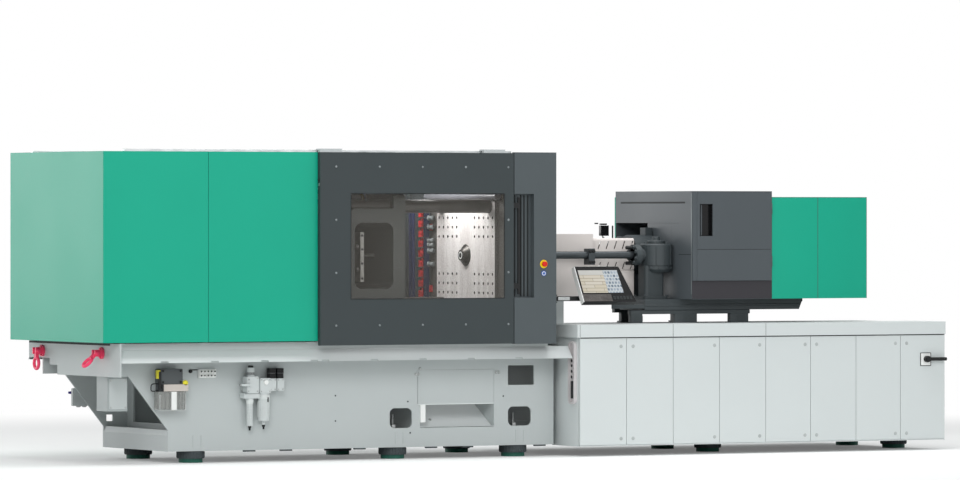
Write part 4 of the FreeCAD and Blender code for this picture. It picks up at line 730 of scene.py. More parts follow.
def milled_casting(name, depth):
    """A casting whose mounting face, within depth of the mould face, is bare and face-milled.

    The cutter leaves upright bands about 70 mm wide and fine feed lines across them. The bare
    face's near-white, barely metallic tone is partly the steel's own and partly painted sheen.
    Behind the face the casting is enamelled dark grey, and the tapped holes in it are dark with
    oil.
    """
    made, tree, place = empty_finish(name)
    axis = add(tree, "SeparateXYZ", {0: place})
    near = add(tree, "Math", {0: axis.outputs["X"], 1: mould_face + depth}, operation="LESS_THAN")
    facing = add(tree, "SeparateXYZ", {0: add(tree, "NewGeometry").outputs["True Normal"]})
    flat = add(tree, "Math", {0: facing.outputs["X"], 1: -0.5}, operation="LESS_THAN")
    milled = add(tree, "Math", {0: near.outputs[0], 1: flat.outputs[0]}, operation="MULTIPLY")
    band_place = add(tree, "Mapping", {"Vector": place, "Scale": (1.0, 14.0, 0.9)})
    bands = add(tree, "TexNoise", {"Vector": band_place.outputs[0], "Scale": 1.0, "Detail": 3.0})
    feed_place = add(tree, "Mapping", {"Vector": place, "Scale": (1.0, 260.0, 9.0)})
    feed = add(tree, "TexNoise", {"Vector": feed_place.outputs[0], "Scale": 1.0, "Detail": 2.0})
    spots = add(tree, "TexNoise", {"Vector": place, "Scale": 110.0, "Detail": 3.0})
    marks = add(tree, "Math", {0: bands.outputs["Fac"], 1: feed.outputs["Fac"]}, operation="ADD")
    marks = add(tree, "Math", {0: marks.outputs[0], 1: spots.outputs["Fac"]}, operation="ADD")
    spread = add(tree, "MapRange", {"Value": marks.outputs[0], "From Min": 1.2, "From Max": 1.75})
    # The milled steel's near-white tone, with almost no metal in it, is partly painted sheen.
    steel = add(tree, "Mix", {0: spread.outputs[0], 6: linear("#D3CCC8"), 7: linear("#FAF6F3")},
                data_type="RGBA")
    enamel = add(tree, "Mix", {0: spots.outputs["Fac"], 6: linear("#54524F"), 7: linear("#62605C")},
                 data_type="RGBA")
    tone = add(tree, "Mix", {0: milled.outputs[0], 6: enamel.outputs[2], 7: steel.outputs[2]},
               data_type="RGBA")
    metal = add(tree, "Math", {0: milled.outputs[0], 1: 0.08}, operation="MULTIPLY")
    gloss = add(tree, "MapRange", {"Value": feed.outputs["Fac"], "To Min": 0.42, "To Max": 0.56})
    bump = add(tree, "Bump", {"Strength": 0.3, "Distance": 0.0003, "Height": marks.outputs[0]})
    shader = add(tree, "BsdfPrincipled", {
        "Base Color": tone.outputs[2], "Metallic": metal.outputs[0],
        "Roughness": gloss.outputs[0], "Normal": bump.outputs[0]})
    add(tree, "OutputMaterial", {"Surface": shader.outputs[0]})
    return made


def bezel(centre, facing, width, height, radius, bar, depth, steps=4):
    """A rounded frame, bar wide and depth proud of its centre, open in its middle."""
    u, v = np.array(facing, float)
    out = np.cross(u, v)
    outer = rounded_outline(width, height, radius, steps)
    inner = rounded_outline(width - 2 * bar, height - 2 * bar, max(radius - bar, 0.0005), steps)
    loops = [(0, outer), (depth, outer), (depth, inner), (0, inner)]
    points = np.stack([np.asarray(centre) + s * out + o[:, :1] * u + o[:, 1:] * v
                       for s, o in loops])
    sides = points.shape[1]
    i, j = np.meshgrid(np.arange(4), np.arange(sides), indexing="ij")
    k, m = (i + 1) % 4, (j + 1) % sides
    quads = np.stack([i * sides + j, i * sides + m, k * sides + m, k * sides + j], -1)
    return points.reshape(-1, 3), quads.reshape(-1, 4).tolist()


def round_bezel(centre, facing, radius, bar, depth, steps=8):
    """A round frame, bar wide and depth proud of its centre."""
    return bezel(centre, facing, 2 * radius, 2 * radius, radius, bar, depth, steps)


casting_enamel = cast_iron("dark_casting_enamel", "#434644", "#3B3E3C", 0.0003)
# Painted sheen: the fixed platen's milled face is near white and barely metallic.
coat(milled_casting("face_milled_iron_painted_sheen", 0.024), "fixed_platen")
coat(casting_enamel, "moving_platen", "end_platen")
centre_z = 1.490
nozzle_end = (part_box("nozzle_cone")[0].x - 0.0002, 0, centre_z)
piece("nozzle_rim", [round_bezel(nozzle_end, LEFT, 0.028, 0.008, 0.001)],
      white_plastic)
bore = turned([(0, 0.0195), (0.0008, 0.0195), (0.001, 0.018)], nozzle_end, LEFTWARD, 24)
piece("nozzle_bore", [bore], black_plastic)
coat(bare_steel("blued_steel", "#55534F", "#3E3C3A", 0.35, (1, 1, 1), 4.0), "nozzle_cone")
coat(bare_steel("dull_chrome", "#8F8D8B", "#6F6D6B", 0.32, (20, 1, 1), 3.0, 0.02), "clamp_ram")
# Painted shade: the tie bars are coloured dark for the shade and dark reflections on them inside
# the guard.
coat(bare_steel("tie_bars_painted_shade", "#5A5754", "#464340", 0.45, (20, 1, 1), 3.0, 0.02, 0.35),
     "tie_bars")
# Painted light: the platen's cylinder is given a pale, barely metallic tone that stands for the lit
# line along the platen's top.
coat(bare_steel("ground_cylinder_painted_light", "#D9D9DA", "#BDBDBF", 0.3, (20, 1, 1), 3.0, metallic=0.2),
     "platen_cylinder")
coat(bare_steel("ground_steel_plate", "#8E8D89", "#74736F", 0.4, (1, 12, 1), 2.0),
     "ejector_plate")

# The ejector plate's front edge has bolts; the cylinder has a brass gland, ports and a pipe.
ejector_x = -1.100
plate_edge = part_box("ejector_plate")[0].y
edge_bolts = [at(ejector_x, plate_edge, centre_z + dz) for dz in (-0.165, -0.055, 0.05, 0.15)]
edge_bolt = turned([(0, 0.009), (0.004, 0.009), (0.006, 0.006)], (0, 0, 0), OUT, 12)
piece("ejector_edge_bolts", [repeated(edge_bolt, edge_bolts)], black_plastic,
      "ejector")
gland_x, cylinder_z = -0.9, 1.903
rings = [turned([(0, 0.054), (0.006, 0.058), (0.022, 0.058), (0.026, 0.052)],
                at(gland_x - 0.004, 0, cylinder_z), RIGHTWARD, 32),
         turned([(0, 0.03), (0.02, 0.03), (0.024, 0.024)], at(gland_x + 0.05, 0, cylinder_z),
                RIGHTWARD, 24)]
piece("cylinder_gland", rings, bare_steel("turned_brass", "#B89A58", "#96783C", 0.32, (1, 1, 1),
                                          3.0), "clamp_platen")
ports = [turned([(0, 0.02), (0.02, 0.02), (0.022, 0.015), (0.05, 0.015)], at(x, -0.03, 1.935),
                (0, -0.7, 0.714), 14) for x in (-1.42, -0.98)]
piece("cylinder_ports", ports, zinc_steel, "clamp_platen")
pipe_y, pipe_z = -0.085, 1.985
cylinder_route = route((-1.42, -0.065, 1.97), (-1.42, pipe_y, pipe_z), (-1.36, pipe_y, pipe_z),
                       (-1.04, pipe_y, pipe_z), (-0.98, pipe_y, pipe_z), (-0.98, -0.065, 1.97))
piece("cylinder_pipe", [pipe(cylinder_route, 0.008, 10, 0.02)], zinc_steel,
      "clamp_platen")

# Six screws lock each tie-bar nut on the fixed platen's back.
tie, nut_face, ring = 0.365, 0.38, 0.065
nut_screws = [at(nut_face, sy * tie + ring * np.cos(a), centre_z + sz * tie + ring * np.sin(a))
              for sy in (-1, 1) for sz in (-1, 1) for a in np.arange(6) * np.pi / 3]
nut_screw = turned([(0, 0.008), (0.006, 0.008), (0.008, 0.006)], (0, 0, 0), RIGHTWARD, 10)
piece("tie_nut_screws", [repeated(nut_screw, nut_screws)], black_plastic)


def on_left(x, y, z, *size):
    """A plate towards the clamping end."""
    return plate(at(x, y, z), LEFT, *size)


# A tubular work lamp lies across the top of the platen face in three clips.
lamp_z = 1.930
lamp_tube = turned([(0, 0.024), (0.004, 0.028), (1.12, 0.028), (1.124, 0.024)],
                   at(-0.032, -0.565, lamp_z), (0, 1, 0), 24)
piece("platen_lamp", [lamp_tube], moulded_plastic("opal_lamp_tube", "#67686C", "#5C5D62", 0.3))
clips = [on_left(0.025, y, lamp_z, 0.03, 0.075, 0.076, 0.006) for y in (-0.50, -0.02, 0.46)]
piece("lamp_clips", clips, black_plastic)

# Cooling water manifold: red flow regulators between two blue supply pipes, grey couplings.
manifold_red = moulded_plastic("red_manifold_plastic", "#CC2A2C", "#B42226", 0.3)
coat(manifold_red, "water_manifold")
pitch, lowest, tube_x = 0.075, 1.171, -0.077
levers, sights = [], []
for i in range(9):
    z = lowest + pitch * i
    levers.append(turned([(0, 0.011), (0.012, 0.011), (0.014, 0.008)],
                         at(tube_x, 0.56, z + 0.037), OUT, 16))
    levers.append(on_front(tube_x, 0.56, z + 0.012, 0.016, 0.012, 0.008, 0.003))
    sights.append(on_front(tube_x, 0.5595, z + 0.056, 0.02, 0.004, 0.002))
joints = [on_front(tube_x, 0.558, lowest + pitch * i, 0.078, 0.007, 0.003, 0.001)
          for i in range(10)]
piece("regulator_joints", joints, dark_inside)
piece("regulator_levers", levers, manifold_red)
piece("regulator_sights", sights, black_plastic)
pipes = [pipe(route((x, 0.585, 1.10), (x, 0.585, 1.86)), 0.013, 12) for x in (-0.129, -0.009)]
pipes += [on_front(x, y, 1.50, width, 0.76, 0.010, 0.004)
          for x, y, width in ((-0.142, 0.612, 0.030), (-0.034, 0.567, 0.044))]
piece("water_supply_pipes", pipes,
      powder_coat("blue_pipe_enamel", "#20284C", "#1B2242", roughness=0.35))
coupling = [(0, 0.02), (0.014, 0.02), (0.016, 0.014), (0.03, 0.014), (0.032, 0.018),
            (0.05, 0.018)]
couplings = [turned(coupling, at(-0.02, 0.56, z), (0.55, -0.83, 0), 14)
             for z in (1.77, 1.70, 1.60, 1.565, 1.52, 1.42)]
piece("water_couplings", couplings,
      moulded_plastic("grey_coupling_plastic", "#8E9494", "#7C8282", 0.4))
rails = [plate(at(-0.06, 0.572, z), TOP, 0.13, 0.03, 0.02, 0.003) for z in (1.13, 1.845)]
piece("manifold_rails", rails, zinc_steel)

# ---------------------------------------------------------------------------------------
# Covers of the clamping unit and of the drive: sheet steel in sea-green powder coat. A dark
# strip on the end beam under the end cover's edge is painted shadow of the cover's overhang.
green_paint = powder_coat("green_powder_coat", "#10A386", "#109D81", roughness=0.38)
coat(green_paint, "clamp_covers", "clamp_cover_end")
dark_joint = moulded_plastic("dark_joint_rubber", "#25292A", "#1D2122", 0.6)
# Painted shadow of the end cover's overhang, drawn as a dark strip on the beam.
piece("end_beam_painted_shadow", [on_left(beam_face, 0.060, 0.861, 1.38, 0.013, 0.006, 0.002)],
      dark_joint)

# ---------------------------------------------------------------------------------------
# Guard: graphite frame with light grey sills, slate posts, steel rails along the roof's
# edges, and two sliding doors. The front door has domed screws and a brown polycarbonate
# pane in a rubber seal.
sill_top = 0.8705
graphite = powder_coat("graphite_powder_coat", "#3B4143", "#34393B", roughness=0.5)
coat(two_tone(graphite, "#B9BFBF", sill_top, above=False), "guard_frame")
coat(powder_coat("slate_powder_coat", "#50575A", "#4B5255", roughness=0.42), "post_panels")
coat(bare_steel("rolled_rail_steel", "#C9CDCE", "#A6ABAC", 0.36, (25, 1, 1), 4.0), "door_rails")
door_top = 2.2465         # over it the hangers' plates are bare zinc
door_paint = powder_coat("anthracite_powder_coat", "#3A4143", "#363D3F", roughness=0.42)
coat(two_tone(door_paint, "#B4B9BA", door_top, above=True), "guard_door_panel", "rear_door_panel")
coat(clear_plastic("brown_polycarbonate", "#A8A39B", 0.06, 0.06), "guard_door_window")
coat(black_plastic, "guard_door_handle")
front_skin = -0.840
columns_x = (-1.520, -1.164, -0.809, -0.451, -0.095)
screw_places = [(x, z) for x in columns_x for z in (2.142, 0.988)]
screw_places += [(x, z) for x in columns_x[::4] for z in (1.755, 1.370)]
burnished = bare_steel("burnished_screws", "#8B9294", "#6B7274", 0.4, (1, 1, 1), 3.0, metallic=0.5)
domed = turned([(0, 0.0085), (0.002, 0.0085), (0.004, 0.0062), (0.005, 0.003)], (0, 0, 0), OUT, 14)
piece("door_screws", [repeated(domed, [at(x, front_skin, z) for x, z in screw_places])],
      burnished, "guard_door")
window_middle = at(-0.763, front_skin + 0.003, 1.563)
piece("window_seal", [bezel(window_middle, FRONT, 1.2795, 0.7755, 0.004, 0.007, 0.0025)],
      dark_joint, "guard_door")
rail_y, rail_top = -0.756, 2.2473
strips = [plate(at(x, rail_y, rail_top), TOP, length, 0.018, 0.0194, 0.002)
          for x, length in ((-3.005, 0.37), (-2.68, 0.22), (-2.395, 0.28), (-1.90, 0.55))]
piece("rail_wear_strips", strips, white_plastic)
door_left, edge_y = -1.650, -0.822
bumper = turned([(0, 0.007), (0.006, 0.009), (0.01, 0.006)], at(door_left, edge_y, 2.045),
                LEFTWARD, 14)
piece("door_edge_bumper", [bumper], dark_joint, "guard_door")
piece("door_edge_latch", [on_left(door_left, edge_y, 2.012, 0.016, 0.022, 0.004, 0.002)],
      zinc_steel, "guard_door")

# The pocket for the grip has upright dark ribs, painted shade in the pocket; two buttons stand
# beside it.
pocket_floor = -0.791
ribs = [on_front(x, pocket_floor, 1.564, 0.009, 0.745, 0.006, 0.002)
        for x in (-0.02, 0.035, 0.062, 0.092)]
piece("pocket_painted_shade_ribs", ribs, dark_joint)
button_blue = moulded_plastic("blue_button_plastic", "#4A6FB8", "#3E62AA", 0.25)
coat(moulded_plastic("red_button_plastic", "#D8261A", "#C01E14", 0.25), "e_stop_button")
coat(button_blue, "push_button")
stop_place, start_place = (at(0.202, front_skin, z) for z in (1.429, 1.360))
piece("stop_ring", [round_bezel(stop_place, FRONT, 0.031, 0.0185, 0.003)],
      moulded_plastic("yellow_ring_plastic", "#F2D51C", "#E4C414", 0.35))
piece("start_ring", [round_bezel(start_place, FRONT, 0.020, 0.005, 0.003)],
      button_blue)
piece("start_inner_ring", [round_bezel(start_place, FRONT, 0.015, 0.005, 0.0035)],
      white_plastic)

# ---------------------------------------------------------------------------------------
# Control cabinet: pale grey powder coat, quarter-turn locks, a dark strip under the top band
# that is painted shadow of the band's overhang, and the main switch on its framed plate. The
# bed behind it has the base's paint.
cabinet_paint = powder_coat("light_grey_powder_coat", "#D0D6D6", "#CBD1D1", roughness=0.42)
coat(cabinet_paint, "cabinet_frame", "cabinet_top_cover",
     *("cabinet_door_%d" % number for number in range(1, 9)))
coat(base_paint, "injection_bed")
lock_grey = bare_steel("satin_lock_zinc", "#B9BEBE", "#A2A8A8", 0.4, (1, 1, 1), 3.0, metallic=0.4)
lock_body = turned([(0, 0.0135), (0.0008, 0.0135), (0.0015, 0.0115), (0.0016, 0.006)],
                   (0, 0, 0), OUT, 18)
lock_bit = plate((0, -0.0016, 0), FRONT, 0.003, 0.011, 0.0006, 0.0012, 0.0002)
cabinet_face = -0.850
for number, x in enumerate((0.854, 0.957, 1.660, 2.054, 2.453, 2.555, 3.257, 3.357), 1):
    places = [at(x, cabinet_face, z) for z in (0.815, 0.130)]
    piece("cabinet_locks_%d" % number, [repeated(lock_body, places), repeated(lock_bit, places)],
          lock_grey, "cabinet_door_%d_leaf" % number)
# Painted shadow: a dark strip where the top band's overhang shades the doors.
piece("band_painted_shadow", [on_front(2.103, cabinet_face, 0.8795, 3.19, 0.006, 0.001, 0.001, 0.0003)],
      dark_joint)
band_face = -0.856
joints = [on_front(x, band_face, 0.9305, 0.003, 0.094, 0.0004, 0.001, 0.0001)
          for x in (0.502, 1.298, 2.105)]
piece("band_joints", joints, dark_inside)
switch_middle = at(3.528, cabinet_face, 0.691)
piece("switch_plate", [bezel(switch_middle, FRONT, 0.086, 0.092, 0.004, 0.029, 0.003)],
      white_plastic, "cabinet_door_8_leaf")
piece("switch_border", [bezel(switch_middle, FRONT, 0.096, 0.102, 0.005, 0.005, 0.0034)],
      black_plastic, "cabinet_door_8_leaf")
coat(black_plastic, "main_switch_knob")

# The frame round the sockets on the cabinet's end is pale; its sockets and slots are dark.
coat(moulded_plastic("pale_frame_plastic", "#CFCBCB", "#C3BFC0", 0.4), "cable_guard")
socket = turned([(0, 0.0118), (0.0015, 0.0118), (0.002, 0.009)], (0, 0, 0), LEFTWARD, 20)
sockets = repeated(socket, [at(0.486, -0.756, z) for z in (0.590, 0.632, 0.674, 0.710)])
connector = on_left(0.501, -0.755, 0.495, 0.040, 0.130, 0.012, 0.004)
port = on_left(0.504, -0.694, 0.495, 0.014, 0.130, 0.002, 0.003)
piece("end_sockets", [sockets, connector, port], black_plastic)

# ---------------------------------------------------------------------------------------
# Injection unit: blackened columns with clamp blocks, a cast housing with two drums, a long
# carriage on a slideway, and pale guards round the barrel.
column_steel = bare_steel("blackened_columns", "#4A5053", "#3B4043", 0.34, (20, 1, 1), 3.0,
                          metallic=0.6)
column_y = 0.270
column_parts = []
for y in (-column_y, column_y):
    column_parts.append(turned([(0, 0.055), (0.030, 0.055), (0.0305, 0.028), (1.600, 0.028)],
                               at(0.300, y, centre_z), RIGHTWARD, 40))
    column_parts.append(on_front(0.911, y + 0.036, 1.478, 0.053, 0.122, 0.076, 0.004))
columns = piece("clamped_columns", column_parts, column_steel)
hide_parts("injection_columns")
carriage_enamel = cast_iron("carriage_enamel", "#394144", "#31383B")
coat(carriage_enamel, "injection_housing")


def beam(x0, x1, y0, y1, z0, z1, bevel=0.002):
    """A straight bar between two heights, its upper edges bevelled."""
    middle = at((x0 + x1) / 2, (y0 + y1) / 2, z0)
    return plate(middle, TOP, x1 - x0, y1 - y0, z1 - z0, 0.003, bevel)


def outline_slab(corners, low, high):
    """A flat plate: the outline of (x, y) corners, from one height up to another."""
    flat = np.array([at(x, y, 0) for x, y in corners])
    return skin([flat + [0, 0, low], flat + [0, 0, high]])


# The slideway: the operator's side has a rail on three legs, the far side a shorter one.
way_floor, carriage_floor, bed_top = 1.045, 1.075, 0.970
near_legs = ((1.186, 1.285), (1.566, 1.760), (2.051, 2.212))
far_legs = ((1.560, 1.700), (2.015, 2.191))
way = []
for y, left, legs in ((-0.400, 1.180, near_legs), (0.400, 1.500, far_legs)):
    way.append(beam(left, 2.225, y - 0.022, y + 0.022, way_floor, carriage_floor))
    for x0, x1 in legs:
        way.append(beam(x0, x1, y - 0.022, y + 0.022, bed_top, way_floor, 0.0005))
        way.append(beam(x0 - 0.012, x1 + 0.012, y - 0.030, y + 0.030, bed_top, bed_top + 0.012))
slideway = piece("slideway_rails", way, carriage_enamel)
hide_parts("injection_slideway")
leg_slots = [on_front((x0 + x1) / 2 + 0.014, -0.422, 1.012, 0.074, 0.046, 0.0006, 0.004, 0.0002)
             for x0, x1 in near_legs]
piece("slideway_leg_slots", leg_slots, dark_inside)

# The carriage: a beam with a leaning end, and a pointed shelf on the operator's side.
low, deck_floor, deck_top, deck_half = carriage_floor + 0.0003, 1.134, 1.157, 0.430
side = np.array(route((1.300, 0, low), (2.655, 0, low), (2.680, 0, deck_floor),
                      (1.300, 0, deck_floor)))
near = skin([side + [0, -deck_half, 0], side + [0, -0.050, 0]])
side[[0, 3]] += [0.260, 0, 0]
far = skin([side + [0, -0.050, 0], side + [0, deck_half, 0]])
deck = outline_slab([(1.300, -deck_half), (2.686, -deck_half), (2.686, deck_half),
                     (1.300, deck_half)], deck_floor, deck_top)
shelf = outline_slab([(1.310, -0.428), (1.090, -0.428), (1.025, -0.405), (1.150, -0.200),
                      (1.310, -0.120)], low + 0.012, low + 0.042)
ridge = beam(1.300, 2.655, -0.434, -0.430, low + 0.030, low + 0.042, 0.001)
carriage = piece("carriage_beam", [near, far, deck, shelf, ridge], carriage_enamel,
                 "carriage")
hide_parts("carriage_base")
coat(casting_enamel, "injection_yoke")
coat(bare_steel("hard_chrome_plate", "#C9C9CB", "#A9A9AC", 0.22, (20, 1, 1), 3.0, 0.02),
     "plasticising_screw")
coat(bare_steel("heat_tinted_barrel", "#8D8378", "#6C6156", 0.36, (1, 6, 6), 4.0), "barrel")
guard_paint = powder_coat("pearl_powder_coat", "#E6DFDB", "#DFD8D4", roughness=0.42)
coat(guard_paint, "purge_guard", "barrel_guard")
piece("barrel_guard_skirt", [on_front(1.200, -0.125, 1.270, 0.360, 0.200, 0.002, 0.003)],
      guard_paint, "carriage")
piece("barrel_guard_edge", [on_front(1.384, -0.125, 1.275, 0.010, 0.205, 0.003, 0.001)],
      black_plastic, "carriage")


def circle(x, y, z, radius, angles):
    """Places round an upright axis, one radius away from it at each angle."""
    return [at(x + radius * np.cos(a), y + radius * np.sin(a), z) for a in angles]


# Each drum has bolt heads and fins round it, a bolted cap, and a flange for its column.
drum_x, flange_x, flange_ring = 1.490, 1.285, 0.062
spread = np.arange(12) * np.pi / 6
for y, word in ((-column_y, "front"), (column_y, "rear")):
    heads = [turned([(0, 0.010), (0.008, 0.010), (0.010, 0.008)], place,
                    (np.cos(a), np.sin(a), 0), 12)
             for a, place in zip(spread + 0.2, circle(drum_x, y, 1.392, 0.116, spread + 0.2))]
    fins = [plate(place, ((-np.sin(a), np.cos(a), 0), UP), 0.006, 0.148, 0.004, 0.002)
            for a, place in zip(spread, circle(drum_x, y, 1.4865, 0.1245, spread))]
    cap = turned([(0, 0.07), (0.018, 0.07), (0.024, 0.064), (0.026, 0.03), (0.05, 0.028),
                  (0.054, 0.022)], at(drum_x, y, 1.575), UP, 32)
    cap_bolts = repeated(hex_bolt((0, 0, 0), TOP, 0.024),
                         circle(drum_x, y, 1.575, 0.094, spread[::2]))
    flange = [round_bezel(at(1.335, y, centre_z), LEFT, 0.078, 0.0488, 0.05, 10)]
    flange += [hex_bolt(at(flange_x, y + flange_ring * np.cos(a),
                           centre_z + flange_ring * np.sin(a)), LEFT, 0.026)
               for a in np.arange(8) * np.pi / 4 + 0.39]
    for name, shapes in (("drum_details_", heads + fins), ("drum_cap_", [cap, cap_bolts]),
                         ("column_flange_", flange)):
        piece(name + word, shapes, carriage_enamel, "carriage")
    studs = [turned([(0, 0.015), (0.055, 0.015), (0.058, 0.012)], at(flange_x, y, centre_z + dz),
                    LEFTWARD, 6) for dz in (-0.062, 0.055)]
    piece("flange_studs_" + word, studs, black_plastic, "carriage")
    screws = [turned([(0, 0.013), (0.010, 0.013), (0.012, 0.010)], at(x, y - 0.036, z), OUT, 14)
              for x in (0.897, 0.925) for z in (1.437, 1.519)]
    piece("collar_screws_" + word, screws, black_plastic)
foot_bolts = [hex_bolt(at(x, side * column_y + dy, 1.179), TOP, 0.022) for side in (-1, 1)
              for x in (1.349, 1.541) for dy in (-0.074, 0.074)]
piece("column_foot_bolts", foot_bolts, carriage_enamel, "carriage")

# A black valve with cooling fins stands on a bracket over the shroud, with its small coils.
panel_black = moulded_plastic("gloss_black_panel", "#111214", "#0B0C0D", 0.18)
valve = [on_front(1.315, 0.235, 1.672, 0.070, 0.078, 0.03, 0.004)]
valve += [on_front(1.285 + 0.012 * i, 0.205, 1.672, 0.004, 0.080, 0.006, 0.001) for i in range(6)]
valve += [plate(at(1.300, 0.205, 1.715), TOP, 0.055, 0.024, 0.012, 0.003),
          plate(at(1.240, 0.205, 1.722), TOP, 0.026, 0.018, 0.010, 0.003),
          turned([(0, 0.006), (0.11, 0.006)], at(1.388, 0.215, 1.60), UP, 10)]
piece("valve_block", valve, panel_black, "carriage")
valve_y = 0.215
stay_route = route((1.300, valve_y, 1.635), (1.300, valve_y, 1.625), (1.33, valve_y, 1.60),
                   (1.34, 0.14, 1.56), (1.345, 0.10, 1.555))
piece("valve_stay", [pipe(stay_route, 0.006, 10, 0.012)], zinc_steel, "carriage")

# Dark plugs hang under the carriage's near edge.
plugs = [turned([(0, 0.018), (0.012, 0.018), (0.020, 0.010)], at(x, -0.34, 1.0754), BELOW, 14)
         for x in (1.515, 2.035)]
piece("carriage_plugs", plugs, black_plastic, "carriage")

# Green sheets round the drive; the far one reaches forward behind the hood.
left, right, half, low, high, gauge = 2.303, 3.147, 0.615, 1.158, 1.927, 0.003
sheets = [beam(x0, x1, y0, y1, z0, high) for x0, x1, y0, y1, z0 in (
    (left, right, -half, gauge - half, low), (left, right, half - gauge, half, low),
    (left, right, -half, half, high - gauge), (right - gauge, right, -half, half, low),
    (left, left + gauge, 0.541, half, low), (1.600, left, 0.541, 0.556, low))]
drive_cover = piece("drive_cover_sheets", sheets, green_paint, "carriage")
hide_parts("injection_rear_cover")

# ---------------------------------------------------------------------------------------
# Hood over the feed: charcoal sheet steel with a hinged door, a darker skirt under it, a
# painted highlight as a light strip on its near corner, and narrow seams; the drive's green
# cover has one upright seam.
hood_paint = powder_coat("charcoal_powder_coat", "#545A5E", "#4E5458", roughness=0.44, sheen=0.30)
coat(hood_paint, "injection_cover")
hood_door_paint = powder_coat("hood_door_powder_coat", "#50565A", "#4B5155", roughness=0.4)
coat(hood_door_paint, "injection_door")
piece("hood_door_margin", [on_front(1.6205, -0.6155, 1.6285, 0.037, 0.663, 0.0115, 0.002)],
      hood_door_paint, "hood_door")
hood_front = -0.615
piece("hood_skirt", [on_front(1.952, hood_front, 1.2275, 0.700, 0.135, 0.002, 0.003)],
      powder_coat("skirt_powder_coat", "#3A383C", "#343337", roughness=0.5),
      "carriage")
piece("hood_door_seam", [on_front(1.964, -0.6273, 1.532, 0.646, 0.0035, 0.0004, 0.001, 0.0001)],
      dark_joint, "hood_door")
hood_left = 1.600
apron = [on_left(hood_left + 0.004, *size, 0.0035) for size in (
    (-0.365, 1.4455, 0.110, 0.569), (-0.205, 1.308, 0.210, 0.294), (-0.130, 1.6275, 0.360, 0.205))]
piece("hood_apron", apron, hood_paint, "carriage")
seams = [on_left(hood_left, -0.516, 1.4935, 0.19, 0.004, 0.0004, 0.001, 0.0001),
         on_left(hood_left, -0.028, 1.885, 0.976, 0.013, 0.0006, 0.004, 0.0001)]
piece("hood_seams", seams, dark_joint, "carriage")
piece("drive_cover_seam", [on_front(2.710, hood_front, 1.5425, 0.004, 0.765, 0.0004, 0.001,
                                   0.0001)],
      dark_inside, "carriage")
# Painted highlight: a light metal strip down the hood's near corner stands for the light on its
# edge.
piece("hood_corner_painted_highlight", [on_left(hood_left, -0.611, 1.575, 0.008, 0.76, 0.002, 0.002)],
      burnished, "carriage")
grip_z = 1.7535
# Painted shade: a black lining in the door's grip recess stands for the shade inside it.
grip_painted_shade = [on_front(x, y, grip_z, width, 0.238, depth) for x, y, width, depth in (
    (1.7205, -0.5885, 0.110, 0.004), (1.6655, -0.589, 0.002, 0.036),
    (1.7755, -0.589, 0.002, 0.030))]
piece("door_grip_painted_shade", grip_painted_shade, panel_black, "hood_door")
piece("door_grip_edge", [on_front(1.690, -0.593, grip_z, 0.011, 0.232, 0.012, 0.003)],
      hood_paint, "hood_door")

# ---------------------------------------------------------------------------------------
# Operator's panel: a flat black housing that leans back, with a lit screen behind glass, a
# brushed key strip under it and a pale edge on its left. Its picture is plain fields and bars.
coat(black_plastic, "panel_arm")
coat(panel_black, "control_panel")
panel_left, lean_up = 0.565, math.sqrt(0.75)
lean = np.cross((1, 0, 0), (0, 0.5, lean_up))


def on_panel(across, up):
    """A point on the panel's face, measured from its lower left corner."""
    return at(panel_left + across, -0.800 + 0.5 * up, 1.145 + lean_up * up)


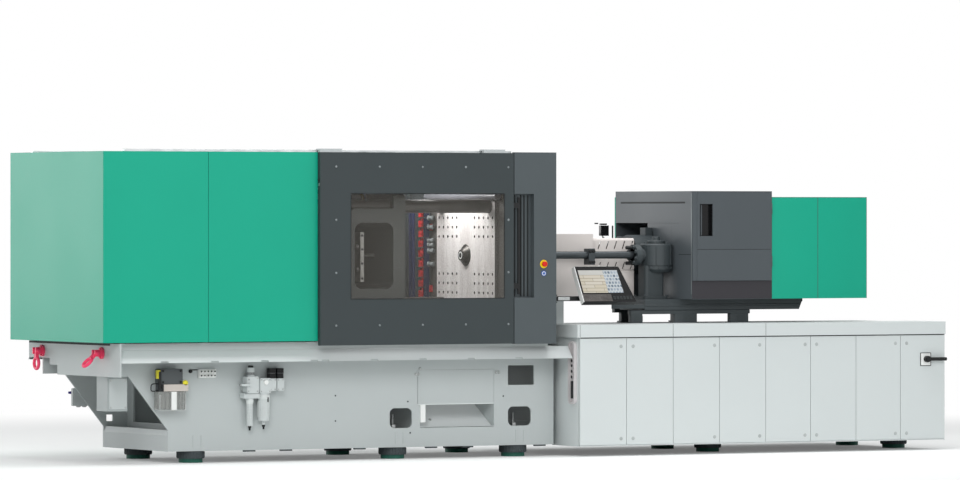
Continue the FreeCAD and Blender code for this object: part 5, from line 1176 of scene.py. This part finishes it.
def lit_screen(name):
    """A liquid crystal screen: cream and pale blue fields, with bars and rows as in a chart."""
    made, tree, place = empty_finish(name)
    axis = add(tree, "SeparateXYZ", {0: place})
    right = add(tree, "Math", {0: axis.outputs["X"], 1: mould_face + panel_left + 0.232},
                operation="GREATER_THAN")
    flat = add(tree, "CombineXYZ", {"X": axis.outputs["X"], "Y": axis.outputs["Z"]})
    rows = add(tree, "TexBrick", {"Vector": flat.outputs[0], "Color1": linear("#BFB9AE"),
                                  "Color2": linear("#B5AC98"), "Mortar": linear("#827C70"),
                                  "Scale": 1.0, "Mortar Size": 0.0016, "Brick Width": 0.150,
                                  "Row Height": 0.024})
    keys = add(tree, "TexBrick", {"Vector": flat.outputs[0], "Color1": linear("#98A2AD"),
                                  "Color2": linear("#55626F"), "Mortar": linear("#B3B8BB"),
                                  "Scale": 1.0, "Mortar Size": 0.004, "Brick Width": 0.026,
                                  "Row Height": 0.025})
    header = add(tree, "Math", {0: axis.outputs["Z"], 1: 1.345}, operation="GREATER_THAN")
    rows = add(tree, "Mix", {0: header.outputs[0], 6: rows.outputs["Color"], 7: linear("#B4B3AF")},
               data_type="RGBA")
    tone = add(tree, "Mix", {0: right.outputs[0], 6: rows.outputs[2], 7: keys.outputs["Color"]},
               data_type="RGBA")
    screen = add(tree, "BsdfPrincipled", {"Base Color": tone.outputs[2], "Roughness": 0.12,
                                          "Emission Color": tone.outputs[2],
                                          "Emission Strength": 0.02})
    add(tree, "OutputMaterial", {"Surface": screen.outputs[0]})
    return made


def panel_plate(corners, depth):
    """A thin plate on the panel's face between four of its points."""
    flat = np.array([on_panel(a, b) for a, b in corners])
    return skin([flat + 0.0002 * lean, flat + depth * lean])


def panel_bar(left, right, low, high, depth):
    """A thin upright rectangle on the panel's face."""
    return panel_plate([(left, low), (right, low), (right, high), (left, high)], depth)


screen = panel_plate([(0.020, 0.078), (0.362, 0.078), (0.356, 0.270), (0.022, 0.270)], 0.0012)
piece("panel_screen", [screen], lit_screen("operator_screen"), "operator_panel")
piece("panel_key_strip", [panel_bar(0.006, 0.250, 0.006, 0.066, 0.0010)],
      bare_steel("brushed_key_strip", "#6B6866", "#413F3E", 0.3, (14, 1, 1), 3.0),
      "operator_panel")
keys = [panel_bar(0.262 + 0.028 * i, 0.284 + 0.028 * i, 0.02, 0.05, 0.0015) for i in range(6)]
piece("panel_keys", keys, dark_joint, "operator_panel")
foot, head = on_panel(0, 0), on_panel(0, 0.302)
flank = np.array([foot, head, head - 0.044 * lean, foot - 0.044 * lean])
edge = [panel_bar(-0.0005, 0.005, 0.0, 0.302, 0.0016),
        skin([flank - [0.0014, 0, 0], flank - [0.0002, 0, 0]])]
piece("panel_edge", edge, white_plastic, "operator_panel")
piece("arm_clamps", [on_front(0.44, -0.718, 1.170, 0.10, 0.024, 0.004, 0.004)],
      zinc_steel, "arm")
arm_cap = turned([(0, 0.030), (0.006, 0.030), (0.010, 0.024)], at(0.35, -0.70, 1.202), UP, 20)
piece("arm_cap", [arm_cap], black_plastic)
